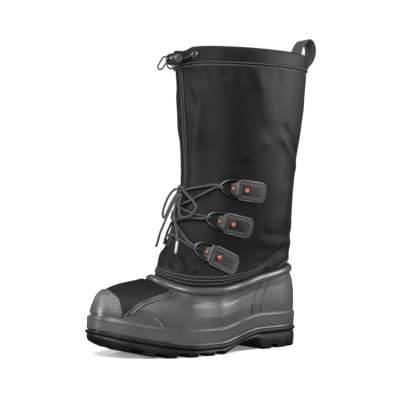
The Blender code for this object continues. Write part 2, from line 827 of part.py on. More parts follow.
def build_front_seam():
    """Lapped seam down the front of the shaft, from the cuff to above the lowest lace."""
    low, high = [], []
    places = [place for place in shaft_levels() if place > 10.0]
    places.append(cuff_foot(0.0) - 0.08)
    for index, place in enumerate(places):
        half_turn = SEAM_WIDTH / 2.0 / (LENGTH * 0.2)
        end = index in (0, len(places) - 1)
        low_row, high_row = [], []
        for across in (-1.0, 0.0, 1.0):
            rise = SEAM_RISE * (0.4 if end or across else 1.0)
            low_row.append(on_skin(place, half_turn * across, SEWN_GAP))
            high_row.append(on_skin(place, half_turn * across, SEWN_GAP + rise))
        low.append(low_row)
        high.append(high_row)
    add_object("front_seam", pad_mesh(low, high), NYLON)


class TabPlace:
    """Where a tab lies on the shaft: a flat map of the surface round its centre."""

    def __init__(self, tab, side):
        self.side = side
        self.level = tab.level
        self.turn = side * math.radians(tab.turn)
        point, around, upward, outward = skin_frame(self.level, self.turn)
        tilt = math.radians(tab.tilt)
        rearward = around * side
        self.centre = point
        self.along = rearward * math.cos(tilt) - upward * math.sin(tilt)
        self.up = upward * math.cos(tilt) + rearward * math.sin(tilt)
        self.outward = outward

    def spot(self, along, up):
        """Level and turn of the point at distances rearwards and up from the centre."""
        place, turn = self.level, self.turn
        step = 0.01
        for _ in range(6):
            point = skin(place, turn)
            miss = point - self.centre
            want_along = along - miss.dot(self.along)
            want_up = up - miss.dot(self.up)
            by_level = (skin(place + step, turn) - point) / step
            by_turn = (skin(place, turn + step) - point) / step
            a, b = by_level.dot(self.along), by_turn.dot(self.along)
            c, d = by_level.dot(self.up), by_turn.dot(self.up)
            scale = a * d - b * c
            place += (want_along * d - want_up * b) / scale
            turn += (want_up * a - want_along * c) / scale
        return place, turn

    def at(self, along, up, offset):
        """Point off the surface at distances rearwards and up from the centre."""
        place, turn = self.spot(along, up)
        return on_skin(place, turn, offset)


# Distances rearwards from a tab's centre, worked out from the sizes of its pieces
TAB_FRONT = -TAB_LENGTH / 2.0
TAB_RIVET_PLACE = TAB_FRONT + 0.0102
KEEPER_RIVET_PLACE = TAB_FRONT - 0.0072
RING_REAR = TAB_FRONT - 0.0016
RING_FRONT = RING_REAR - RING_LENGTH + RING_WIRE
LACE_START = RING_FRONT - RING_WIRE / 2.0 - GAP - LACE_RADIUS


def build_tab(name, place):
    """Leather tab with rounded rear corners, bent to the shaft."""
    half = TAB_HEIGHT / 2.0
    rear = TAB_LENGTH / 2.0
    stations = [TAB_FRONT, TAB_FRONT + 0.0022, -0.006, 0.004]
    for share in (0.0, 0.35, 0.68, 0.9, 1.0):
        stations.append(rear - TAB_CORNER + TAB_CORNER * math.sin(share * math.pi / 2.0))
    low, high = [], []
    for along in stations:
        beyond = max(0.0, along - (rear - TAB_CORNER))
        drop = TAB_CORNER - math.sqrt(max(TAB_CORNER**2 - beyond**2, 0.0))
        if along == TAB_FRONT:
            drop = (TAB_HEIGHT - KEEPER_HEIGHT) / 2.0 - 0.001
        reach = half - drop
        low_row, high_row = [], []
        for across in (-1.0, -0.86, 0.0, 0.86, 1.0):
            end = along in (stations[0], stations[-1]) or abs(across) == 1.0
            rise = TAB_THICKNESS * (0.62 if end else 1.0)
            low_row.append(place.at(along, reach * across, SEWN_GAP))
            high_row.append(place.at(along, reach * across, SEWN_GAP + rise))
        low.append(low_row)
        high.append(high_row)
    add_object(name, pad_mesh(low, high), LEATHER)


def rivet_mesh(place, along, base, width):
    """Domed rivet head, turned about the surface's normal."""
    sides = 10
    level, turn = place.spot(along, 0.0)
    point, around, upward, outward = skin_frame(level, turn)
    profile = ((1.0, 0.0), (1.0, 0.35), (0.72, 0.80), (0.36, 0.98))
    points, faces = [], []
    for radius, rise in profile:
        for side in range(sides):
            angle = math.tau * side / sides
            arm = around * math.cos(angle) + upward * math.sin(angle)
            points.append(point + arm * (radius * width / 2.0) + outward * (base + rise * RIVET_DOME))
    for row in range(len(profile) - 1):
        for side in range(sides):
            beside = (side + 1) % sides
            low, high = row * sides, (row + 1) * sides
            faces.append((low + side, low + beside, high + beside, high + side))
    faces.append(tuple(range(sides)))
    faces.append(tuple((len(profile) - 1) * sides + side for side in range(sides)))
    return mesh_of(points, faces)


# Keeper from the tab's front edge to its own: distance forwards from the tab, and height of
# its underside over the ring's bar's underside, both as shares of RING_WIRE
Arch = namedtuple("Arch", "ahead height")
KEEPER_ARCH = (
    Arch(0.14, 0.92),
    Arch(0.73, 1.26),
    Arch(1.30, 0.90),
    Arch(1.86, 0.20),
    Arch(2.20, 0.00),
    Arch(4.40, 0.00),
)


def build_keeper(name, place):
    """Strap of the tab that bridges the ring's bar and is riveted in front of it."""
    low, high = [], []
    last = KEEPER_ARCH[-1].ahead
    for arch in KEEPER_ARCH:
        along = TAB_FRONT - arch.ahead * RING_WIRE
        base = SEWN_GAP + arch.height * RING_WIRE
        half = KEEPER_HEIGHT / 2.0 - KEEPER_TAPER * (arch.ahead / last) ** 2
        low_row, high_row = [], []
        for across in (-1.0, 0.0, 1.0):
            low_row.append(place.at(along, half * across, base))
            high_row.append(place.at(along, half * across, base + KEEPER_THICKNESS))
        low.append(low_row)
        high.append(high_row)
    add_object(name, pad_mesh(low, high), LEATHER)


def ring_path(place):
    """Closed D path of the ring: straight at the keeper, rounded towards the front."""
    lift = SEWN_GAP + RING_WIRE / 2.0
    tilt = RING_TILT
    half = RING_HEIGHT / 2.0 - RING_WIRE / 2.0
    span = RING_REAR - RING_FRONT
    path = []
    for step in range(11):
        angle = math.pi * step / 10.0
        along = RING_REAR - span * math.sin(angle) ** 0.75
        path.append((along, half * math.cos(angle)))
    path += [(RING_REAR, -half * 0.45), (RING_REAR, half * 0.45)]
    points = []
    for along, up in path:
        share = (RING_REAR - along) / span
        points.append(place.at(along, up, lift + tilt * share))
    return points


def tube_object(name, points, radius, finish, closed=False, resolution=2):
    """Round tube along points, as a curve with filled caps."""
    curve = bpy.data.curves.new(name, "CURVE")
    curve.dimensions = "3D"
    curve.bevel_depth = radius
    curve.bevel_resolution = resolution
    curve.use_fill_caps = not closed
    spline = curve.splines.new("POLY")
    spline.points.add(len(points) - 1)
    for target, point in zip(spline.points, points):
        target.co = (*point, 1.0)
    spline.use_cyclic_u = closed
    curve.materials.append(new_material(finish))
    item = bpy.data.objects.new(name, curve)
    BOOT.objects.link(item)
    return item


def tube_as_mesh(item):
    """The same tube as a closed mesh object of the same name."""
    bpy.context.view_layer.update()
    evaluated = item.evaluated_get(bpy.context.evaluated_depsgraph_get())
    mesh = bpy.data.meshes.new_from_object(evaluated)
    shape = bmesh.new()
    shape.from_mesh(mesh)
    bmesh.ops.remove_doubles(shape, verts=shape.verts, dist=1.0e-6)
    bmesh.ops.recalc_face_normals(shape, faces=shape.faces)
    shape.to_mesh(mesh)
    shape.free()
    name = item.name
    bpy.data.objects.remove(item)
    made = bpy.data.objects.new(name, mesh)
    BOOT.objects.link(made)
    return made


def build_fittings():
    """Tabs, keepers, rings and rivets on both sides of the shaft."""
    places = {}
    for tab in TABS:
        for word, side in SIDES:
            place = TabPlace(tab, side)
            places[tab.name, side] = place
            tail = f"{tab.name}_{word}"
            build_tab(f"tab_{tail}", place)
            build_keeper(f"keeper_{tail}", place)
            tube_object(f"ring_{tail}", ring_path(place), RING_WIRE / 2.0, STEEL, closed=True)
            on_tab = SEWN_GAP + TAB_THICKNESS + GAP
            head = rivet_mesh(place, TAB_RIVET_PLACE, on_tab, TAB_RIVET)
            add_object(f"tab_rivet_{tail}", head, SIGNAL)
            on_keeper = SEWN_GAP + KEEPER_THICKNESS + GAP
            head = rivet_mesh(place, KEEPER_RIVET_PLACE, on_keeper, KEEPER_RIVET)
            add_object(f"keeper_rivet_{tail}", head, SIGNAL)
    return places


def smooth_path(points, spacing):
    """Evenly spaced points on the smooth curve through chosen points."""
    dense = []
    last = len(points) - 1
    for index in range(last):
        four = [points[min(max(index + step, 0), last)] for step in (-1, 0, 1, 2)]
        for part in range(16):
            share = part / 16.0
            dense.append(Vector([cubic(*axis, share) for axis in zip(*four)]))
    dense.append(Vector(points[-1]))
    total = sum((there - here).length for here, there in zip(dense, dense[1:]))
    count = max(2, round(total / spacing))
    result, walked, target = [dense[0]], 0.0, total / count
    for here, there in zip(dense, dense[1:]):
        stride = (there - here).length
        while walked + stride >= target - 1.0e-9 and len(result) < count:
            result.append(here.lerp(there, (target - walked) / stride))
            target += total / count
        walked += stride
    result.append(dense[-1])
    return result


# Heights at which the lace crosses the front seam, as levels
BAR_LEVEL = 11.05
LOW_CROSS_LEVEL = 11.62
HIGH_CROSS_LEVEL = 12.30
KNOT_LEVEL = 12.95
LACE_LIFT = LACE_RADIUS + SEWN_GAP + SEAM_RISE + 2.0 * GAP


def lace_strand(start, middle_level, end, over=0.0):
    """Strand over the front, from one ring's front to another's, past a level in the middle."""
    points = []
    steps = 12
    for step in range(steps + 1):
        share = step / steps
        turn = start[1] + (end[1] - start[1]) * share
        straight = start[0] + (end[0] - start[0]) * share
        middle = (start[0] + end[0]) / 2.0
        place = straight + (middle_level - middle) * math.sin(math.pi * share)
        points.append(on_skin(place, turn, LACE_LIFT + over * math.sin(math.pi * share)))
    return points


def build_lace_crossings(places):
    """Joined lace: the bar between the lowest rings, two crossings and two tie strands."""
    apart = 0.3 * LACE
    low = {key: place.spot(LACE_START, -apart) for key, place in places.items()}
    high = {key: place.spot(LACE_START - 0.4 * apart, apart) for key, place in places.items()}
    outer, inner = 1, -1
    knot_turn = (KNOT_WIDTH / 2.0 + 2.0 * GAP) / (LENGTH * 0.2)
    routes = [
        lace_strand(low["lower", outer], BAR_LEVEL, low["lower", inner]),
        lace_strand(high["lower", outer], LOW_CROSS_LEVEL, low["middle", inner]),
        lace_strand(high["lower", inner], LOW_CROSS_LEVEL, low["middle", outer], apart),
        lace_strand(high["middle", outer], HIGH_CROSS_LEVEL, low["upper", inner]),
        lace_strand(high["middle", inner], HIGH_CROSS_LEVEL, low["upper", outer], apart),
    ]
    for side in (outer, inner):
        place, turn = high["upper", side]
        tie = []
        for step in range(7):
            share = step / 6.0
            level = place + (KNOT_LEVEL - place) * share
            tie.append(on_skin(level, turn + (side * knot_turn - turn) * share, LACE_LIFT))
        routes.append(tie)
    joined = None
    for index, route in enumerate(routes):
        strand = tube_as_mesh(tube_object(f"strand_{index}", route, LACE_RADIUS, BRAID))
        if joined is None:
            joined = strand
        else:
            apply_boolean(joined, strand, "UNION")
    mesh = joined.data
    bpy.data.objects.remove(joined)
    add_object("lace_crossings", mesh, BRAID)


# Routes of the free lace from the knot's centre, in metres
LOOP_OUTER = (
    (0.0078, -0.0015, 0.0010),
    (0.0125, -0.0035, -0.0025),
    (0.0200, -0.0020, -0.0090),
    (0.0265, 0.0010, -0.0160),
    (0.0300, 0.0030, -0.0235),
    (0.0290, -0.0010, -0.0310),
    (0.0235, -0.0065, -0.0355),
    (0.0160, -0.0095, -0.0355),
    (0.0105, -0.0095, -0.0300),
    (0.0075, -0.0075, -0.0205),
    (0.0060, -0.0045, -0.0120),
    (0.0054, -0.0020, -0.0062),
)
LOOP_INNER = (
    (-0.0078, -0.0015, 0.0010),
    (-0.0120, -0.0050, -0.0025),
    (-0.0155, -0.0090, -0.0100),
    (-0.0190, -0.0120, -0.0200),
    (-0.0212, -0.0135, -0.0290),
    (-0.0200, -0.0140, -0.0350),
    (-0.0160, -0.0140, -0.0360),
    (-0.0125, -0.0130, -0.0300),
    (-0.0090, -0.0100, -0.0200),
    (-0.0066, -0.0060, -0.0115),
    (-0.0056, -0.0025, -0.0064),
)
END_OUTER = (
    (0.0018, -0.0030, -0.0070),
    (0.0020, -0.0075, -0.0150),
    (0.0022, -0.0105, -0.0240),
    (0.0045, -0.0130, -0.0330),
    (0.0095, -0.0145, -0.0430),
    (0.0160, -0.0165, -0.0560),
    (0.0205, -0.0195, -0.0680),
    (0.0220, -0.0225, -0.0800),
)
END_INNER = (
    (-0.0019, -0.0030, -0.0070),
    (-0.0035, -0.0090, -0.0170),
    (-0.0065, -0.0155, -0.0320),
    (-0.0095, -0.0200, -0.0450),
    (-0.0125, -0.0238, -0.0570),
    (-0.0145, -0.0262, -0.0680),
    (-0.0155, -0.0275, -0.0730),
)


def knot_centre():
    """Middle of the knot, clear of the seam in front of the shaft."""
    stand = SEWN_GAP + SEAM_RISE + 2.0 * GAP + KNOT_DEPTH / 2.0
    return on_skin(KNOT_LEVEL, 0.0, stand)


def build_free_lace():
    """Knot, two bow loops and two ends, each a cord of its own."""
    centre = knot_centre()
    shape = bmesh.new()
    bmesh.ops.create_uvsphere(shape, u_segments=12, v_segments=8, radius=0.5)
    size = Matrix.Diagonal((KNOT_WIDTH, KNOT_DEPTH, KNOT_HEIGHT, 1.0))
    bmesh.ops.transform(shape, matrix=Matrix.Translation(centre) @ size, verts=shape.verts)
    mesh = bpy.data.meshes.new("lace_knot")
    shape.to_mesh(mesh)
    shape.free()
    add_object("lace_knot", mesh, BRAID)
    routes = (
        ("lace_loop_outer", LOOP_OUTER),
        ("lace_loop_inner", LOOP_INNER),
        ("lace_end_outer", END_OUTER),
        ("lace_end_inner", END_INNER),
    )
    for name, route in routes:
        points = smooth_path([centre + Vector(point) for point in route], 2.2 * LACE)
        tube_object(name, points, LACE_RADIUS, BRAID)


def eyelet_spot(side):
    """Level and turn of a collar eyelet: half way up the cuff."""
    turn = side * math.radians(EYELET_TURN)
    return level_below(COLLAR_LEVEL, turn, CUFF_HEIGHT * 0.5), turn


def build_eyelet(name, side):
    """Eyelet: a turned ring that lies on the cuff."""
    place, turn = eyelet_spot(side)
    point, around, upward, outward = skin_frame(place, turn)
    base = CUFF_BULGE + 2.0 * GAP
    sides = 14
    profile = (
        (EYELET_HOLE, 0.0),
        (EYELET_OUTER, 0.0),
        (EYELET_OUTER * 0.90, EYELET_RISE * 0.8),
        (EYELET_HOLE * 1.25, EYELET_RISE),
    )
    loops = []
    for radius, rise in profile:
        loop = []
        for step in range(sides):
            angle = math.tau * step / sides
            arm = around * math.cos(angle) + upward * math.sin(angle)
            loop.append(point + arm * radius + outward * (base + rise))
        loops.append(loop)
    add_object(name, wall_mesh(loops), STEEL)


def lock_centre():
    """Middle of the cord lock's barrel, in front of the cuff."""
    level = level_at_height(COLLAR_HEIGHT - BARREL_DROP, 0.0)
    cuff = on_skin(level, 0.0, CUFF_BULGE)
    return Vector((BARREL_SHIFT, cuff.y - BARREL_STANDOFF - BARREL_RADIUS, cuff.z))


def turned_x(profile, sides):
    """Closed solid turned about the X axis from (x, radius) pairs, with flat ends."""
    points, faces = [], []
    for x, radius in profile:
        for step in range(sides):
            angle = math.tau * step / sides
            points.append(Vector((x, radius * math.cos(angle), radius * math.sin(angle))))
    for row in range(len(profile) - 1):
        for step in range(sides):
            beside = (step + 1) % sides
            low, high = row * sides, (row + 1) * sides
            faces.append((low + step, low + beside, high + beside, high + step))
    faces.append(tuple(range(sides)))
    faces.append(tuple((len(profile) - 1) * sides + step for step in range(sides)))
    return mesh_of(points, faces)


def box_cutter(low, high):
    """Cutter between two corners."""
    shape = bmesh.new()
    bmesh.ops.create_cube(shape, size=1.0)
    for vert in shape.verts:
        for axis in range(3):
            vert.co[axis] = high[axis] if vert.co[axis] > 0.0 else low[axis]
    mesh = bpy.data.meshes.new("box")
    shape.to_mesh(mesh)
    shape.free()
    cutter = bpy.data.objects.new("box", mesh)
    CUTTERS.objects.link(cutter)
    return cutter


def build_cord_lock():
    """Cord lock: a barrel with a through slot, and a sprung button that slides in its bore."""
    centre = lock_centre()
    half = BARREL_LENGTH / 2.0
    floor = -half + 0.0030
    round_off = 0.0012
    side_slot = SLOT_WIDTH / 2.0
    barrel_mesh = turned_x(
        (
            (-half, BARREL_RADIUS - 2.0 * round_off),
            (-half + round_off, BARREL_RADIUS - 0.5 * round_off),
            (-half + 2.5 * round_off, BARREL_RADIUS),
            (half - round_off, BARREL_RADIUS),
            (half, BARREL_RADIUS - 0.5 * round_off),
        ),
        20,
    )
    barrel = add_object("lock_barrel", barrel_mesh, PLASTIC)
    bore_mesh = turned_x(((floor, BORE_RADIUS), (half + 0.01, BORE_RADIUS)), 20)
    bore = bpy.data.objects.new("bore", bore_mesh)
    CUTTERS.objects.link(bore)
    apply_boolean(barrel, bore, "DIFFERENCE")
    reach = 2.0 * BARREL_RADIUS
    slot = box_cutter(
        (-side_slot, -reach, -SLOT_HEIGHT / 2.0),
        (side_slot, reach, SLOT_HEIGHT / 2.0),
    )
    apply_boolean(barrel, slot, "DIFFERENCE")
    inner_end = floor + BUTTON_TRAVEL + GAP
    button_mesh = turned_x(
        (
            (inner_end, BUTTON_RADIUS),
            (half + BUTTON_STAND - round_off, BUTTON_RADIUS),
            (half + BUTTON_STAND, BUTTON_RADIUS - round_off),
        ),
        20,
    )
    button = add_object("lock_button", button_mesh, PLASTIC)
    slot = box_cutter(
        (-side_slot, -reach, -SLOT_HEIGHT / 2.0),
        (side_slot + BUTTON_TRAVEL, reach, SLOT_HEIGHT / 2.0),
    )
    apply_boolean(button, slot, "DIFFERENCE")
    for item in (barrel, button):
        item.data.transform(Matrix.Translation(centre))


# Free loops of the drawcord from the lock's centre: the long one in front, then the short
# one that goes back under the barrel
CORD_LOOP = (
    (0.0000, -0.0095, 0.0005),
    (-0.0008, -0.0118, 0.0022),
    (-0.0024, -0.0142, 0.0010),
    (-0.0044, -0.0170, -0.0042),
    (-0.0060, -0.0194, -0.0098),
    (-0.0060, -0.0192, -0.0130),
    (-0.0050, -0.0168, -0.0142),
    (-0.0034, -0.0138, -0.0122),
    (-0.0018, -0.0120, -0.0086),
    (-0.0002, -0.0114, -0.0062),
    (0.0018, -0.0114, -0.0076),
    (0.0024, -0.0102, -0.0112),
    (0.0022, -0.0066, -0.0130),
    (0.0010, -0.0020, -0.0124),
    (-0.0012, 0.0030, -0.0112),
)


def build_drawcord():
    """Drawcord: from one eyelet through the lock, round its loops and to the other eyelet."""
    centre = lock_centre()
    stand = CUFF_BULGE + CORD_RADIUS + 2.0 * GAP
    rear = centre.y + BARREL_RADIUS
    behind = rear + BARREL_STANDOFF / 2.0

    def lead(side, drop):
        place, turn = eyelet_spot(side)
        way = [on_skin(place, turn, stand + EYELET_RISE * 1.8)]
        for share, extra in ((0.76, 1.0), (0.56, 0.0)):
            level = place - drop * (1.0 - share)
            way.append(on_skin(level, turn * share, stand + extra * EYELET_RISE))
        return way

    points = lead(1, 0.25)
    points.append(Vector((centre.x + 3.4 * CORD_RADIUS, behind, centre.z + 0.5 * CORD_RADIUS)))
    points.append(Vector((centre.x + 1.3 * CORD_RADIUS, behind, centre.z)))
    points.append(Vector((centre.x + 0.2 * CORD_RADIUS, rear + 0.0006, centre.z)))
    points.append(Vector((centre.x, rear - CORD, centre.z)))
    points.append(Vector((centre.x, centre.y, centre.z)))
    points += [centre + Vector(point) for point in CORD_LOOP]
    points += list(reversed(lead(-1, 1.2)))
    tube_object("drawcord", smooth_path(points, 2.2 * CORD), CORD_RADIUS, BRAID)


# Pull loop, side view: distance behind the rim's outer edge, height over the rim, and how
# far the webbing bends to the collar's curve there
Fold = namedtuple("Fold", "behind over hug")
PULL_INSIDE = -(SHAFT_WALL + 4.0 * GAP + WEB_THICKNESS / 2.0)
PULL_OUTSIDE = CUFF_BULGE + 2.0 * GAP + WEB_THICKNESS / 2.0
PULL_LOOP = (
    Fold(PULL_INSIDE, -0.0200, 1.0),
    Fold(PULL_INSIDE, -0.0080, 1.0),
    Fold(PULL_INSIDE, 0.0010, 1.0),
    Fold(PULL_INSIDE + 0.0008, 0.0120, 0.7),
    Fold(0.0025, 0.0230, 0.3),
    Fold(0.0090, 0.0285, 0.0),
    Fold(0.0160, 0.0270, 0.0),
    Fold(0.0205, 0.0195, 0.0),
    Fold(0.0205, 0.0090, 0.0),
    Fold(0.0165, -0.0010, 0.2),
    Fold(0.0100, -0.0090, 0.6),
    Fold(PULL_OUTSIDE + 0.0016, -0.0150, 0.9),
    Fold(PULL_OUTSIDE, -0.0195, 1.0),
    Fold(PULL_OUTSIDE, -0.0260, 1.0),
)


def collar_sag(x):
    """How far the collar curves forwards at a distance to the side of its back."""
    turn = math.pi
    for _ in range(8):
        turn += (skin(COLLAR_LEVEL, turn).x - x) / (SHAFT_WIDTH / 2.0)
    return skin(COLLAR_LEVEL, math.pi).y - skin(COLLAR_LEVEL, turn).y


def build_pull_loop():
    """Webbing loop over the back of the collar, one end sewn inside it and one outside."""
    rim = skin(COLLAR_LEVEL, math.pi)
    low, high = [], []
    for column in range(5):
        x = WEB_WIDTH * (column / 4.0 - 0.5)
        sag = collar_sag(x)
        line = [Vector((rim.y + fold.behind - fold.hug * sag, rim.z + fold.over)) for fold in PULL_LOOP]
        low_row, high_row = [], []
        for index, point in enumerate(line):
            way = line[min(index + 1, len(line) - 1)] - line[max(index - 1, 0)]
            way.normalize()
            side = Vector((way.y, -way.x)) * (WEB_THICKNESS / 2.0)
            low_row.append(Vector((x, *(point + side))))
            high_row.append(Vector((x, *(point - side))))
        low.append(low_row)
        high.append(high_row)
    add_object("pull_loop", pad_mesh(low, high), WEBBING)


def clear_scene():
    """Remove what the file starts with."""
    for item in list(bpy.data.objects):
        bpy.data.objects.remove(item)


def new_collection(name):
    """Collection linked to the scene."""
    made = bpy.data.collections.new(name)
    bpy.context.scene.collection.children.link(made)
    return made


clear_scene()
BOOT = new_collection("pac_boot")
CUTTERS = new_collection("cutters")
build_outsole()
build_insole()
build_shell()
build_shaft()
build_toe_cap()
build_toe_bumper()
build_wing("toe_wing_outer", 1)
build_wing("toe_wing_inner", -1)
build_ridge("vamp_ridge_outer", 1)
build_ridge("vamp_ridge_inner", -1)
build_front_seam()
build_lace_crossings(build_fittings())
build_free_lace()
for word, side in SIDES:
    build_eyelet(f"eyelet_{word}", side)
build_cord_lock()
build_drawcord()
build_pull_loop()
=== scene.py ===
"""Looks of a tall pac boot: finishes, folds, stitches, lace, lights and camera.

Metres, +Z up. The toe points to -Y, the heel to +Y and the outer side of the foot to +X.
"""

import logging
import math
from contextlib import contextmanager
from dataclasses import dataclass, field
from enum import Enum
from functools import cache
from typing import Any, Callable, Iterable, Iterator, NamedTuple, Optional, Sequence, Union

import bmesh
import bpy
from mathutils import Matrix, Vector

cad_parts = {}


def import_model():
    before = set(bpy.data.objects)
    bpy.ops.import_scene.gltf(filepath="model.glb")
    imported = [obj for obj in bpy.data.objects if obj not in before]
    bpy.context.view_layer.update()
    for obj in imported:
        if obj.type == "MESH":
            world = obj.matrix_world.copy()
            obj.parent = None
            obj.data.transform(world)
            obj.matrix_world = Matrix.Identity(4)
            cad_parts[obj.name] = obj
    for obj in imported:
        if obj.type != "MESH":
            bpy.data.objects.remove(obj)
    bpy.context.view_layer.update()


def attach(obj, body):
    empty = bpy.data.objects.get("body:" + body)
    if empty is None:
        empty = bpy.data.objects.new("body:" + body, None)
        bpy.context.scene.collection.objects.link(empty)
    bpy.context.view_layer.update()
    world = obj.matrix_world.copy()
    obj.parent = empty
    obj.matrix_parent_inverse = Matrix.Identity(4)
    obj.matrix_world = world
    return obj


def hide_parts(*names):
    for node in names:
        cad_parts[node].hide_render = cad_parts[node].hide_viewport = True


LOG = logging.getLogger("pac_boot")
BODY = "boot"


class Side(Enum):
    """The two sides of the boot, as the sign of X."""

    OUTER = 1
    INNER = -1

    @property
    def word(self) -> str:
        """Word that ends the names of this side's pieces."""
        return self.name.lower()


class Slot(Enum):
    """Material slots of the boot."""

    RUBBER = "boot_rubber"
    TREAD = "sole_rubber"
    NYLON = "woven_nylon"
    LEATHER = "tab_leather"
    FELT = "insole_felt"
    STEEL = "grey_steel"
    ENAMEL = "orange_enamel"
    PLASTIC = "lock_plastic"
    BRAID = "black_braid"
    WEBBING = "black_webbing"


def ease(share: float) -> float:
    """Smooth rise from 0 to 1 over a share, held between 0 and 1.

    Args:
        share: Share of the way.

    Returns:
        The eased share.
    """
    share = min(max(share, 0.0), 1.0)
    return share * share * (3.0 - 2.0 * share)


def rolled(share: float) -> float:
    """Height of a rounded edge at a share of its width."""
    return math.sqrt(max(0.0, 1.0 - (1.0 - min(share, 1.0)) ** 2))


def lerp(start: float, end: float, share: float) -> float:
    """Value at a share of the way between two values."""
    return start + (end - start) * share


def halved(low: float, high: float, before: Callable[[float], bool], rounds: int = 18) -> float:
    """Last place between two at which a test still holds, found by halving.

    Args:
        low: Place where the test holds.
        high: Place where it doesn't.
        before: The test.
        rounds: How often the span is halved.

    Returns:
        The place.
    """
    for _ in range(rounds):
        middle = (low + high) / 2.0
        low, high = (middle, high) if before(middle) else (low, middle)
    return low


def cubic(before: float, start: float, end: float, after: float, share: float) -> float:
    """Value on the smooth curve through four evenly spaced values, between the middle two.

    Args:
        before: Value one step before the start.
        start: Value at share 0.
        end: Value at share 1.
        after: Value one step after the end.
        share: Place between start and end.

    Returns:
        The value there.
    """
    slope_in = (end - before) / 2.0
    slope_out = (after - start) / 2.0
    square = share * share
    cube = square * share
    return (
        start * (2.0 * cube - 3.0 * square + 1.0)
        + slope_in * (cube - 2.0 * square + share)
        + end * (3.0 * square - 2.0 * cube)
        + slope_out * (cube - square)
    )


class Level(NamedTuple):
    """One level of the upper, in shares of the boot's sizes."""

    front: float
    back: float
    front_rise: float
    side_rise: float
    back_rise: float
    crown: float
    follow: float
    lift: float
    width: float
    oval: float
    power: float


class Outline(NamedTuple):
    """One station of the foot outline seen from above, in shares."""

    station: float
    shift: float
    half: float


LEVELS = tuple(Level(*row) for row in (
    (-0.484, 0.489, 0.000, 0.000, 0.000, 2.0, 1.00, 0.00, 1.000, 0.0, 0.68),
    (-0.480, 0.494, 0.176, 0.185, 0.185, 2.0, 1.00, 0.00, 1.000, 0.0, 0.68),
    (-0.468, 0.497, 0.305, 0.299, 0.289, 2.0, 1.00, 0.00, 1.010, 0.0, 0.69),
    (-0.444, 0.498, 0.454, 0.363, 0.419, 2.0, 0.95, 0.00, 1.000, 0.0, 0.71),
    (-0.398, 0.495, 0.555, 0.430, 0.529, 2.3, 0.90, 0.00, 0.985, 0.0, 0.73),
    (-0.340, 0.491, 0.640, 0.480, 0.619, 2.8, 0.85, 0.00, 0.970, 0.0, 0.76),
    (-0.270, 0.484, 0.712, 0.525, 0.690, 3.5, 0.80, 0.00, 0.970, 0.0, 0.80),
    (-0.228, 0.478, 0.762, 0.590, 0.755, 4.5, 0.75, 0.00, 0.980, 0.0, 0.85),
    (-0.205, 0.477, 0.820, 0.693, 0.853, 6.0, 0.70, 0.00, 1.000, 0.1, 0.90),
    (-0.189, 0.474, 0.960, 0.880, 1.018, 4.0, 0.45, 0.00, 0.850, 0.5, 0.95),
    (-0.163, 0.478, 0.889, 0.839, 0.958, 2.5, 0.20, 0.10, 0.780, 0.8, 1.00),
    (-0.126, 0.480, 0.927, 0.918, 1.000, 2.0, 0.00, 0.17, 0.800, 1.0, 1.00),
    (-0.090, 0.479, 0.917, 0.907, 0.981, 2.0, 0.00, 0.28, 0.860, 1.0, 1.00),
    (-0.060, 0.482, 0.917, 0.917, 0.954, 2.0, 0.00, 0.39, 0.910, 1.0, 1.00),
    (-0.056, 0.496, 0.930, 0.930, 0.958, 2.0, 0.00, 0.53, 0.950, 1.0, 1.00),
    (-0.064, 0.521, 0.944, 0.944, 0.955, 2.0, 0.00, 0.66, 0.975, 1.0, 1.00),
    (-0.072, 0.539, 0.956, 0.956, 0.965, 2.0, 0.00, 0.79, 0.990, 1.0, 1.00),
    (-0.082, 0.554, 0.969, 0.969, 0.975, 2.0, 0.00, 0.92, 1.000, 1.0, 1.00),
    (-0.086, 0.556, 1.000, 0.990, 1.007, 2.0, 0.00, 1.00, 1.000, 1.0, 1.00),
))
OUTLINE = tuple(Outline(*row) for row in (
    (0.00, -0.060, 0.430),
    (0.12, -0.048, 0.455),
    (0.25, -0.010, 0.490),
    (0.36, 0.030, 0.500),
    (0.50, 0.035, 0.445),
    (0.62, 0.020, 0.392),
    (0.75, 0.000, 0.378),
    (0.88, 0.000, 0.378),
    (1.00, 0.000, 0.365),
))
PROBE = 0.02  # step, in levels and radians, for directions on the surface
FRONT_RADIUS = 0.062  # of the shaft's front, which turns widths into radians


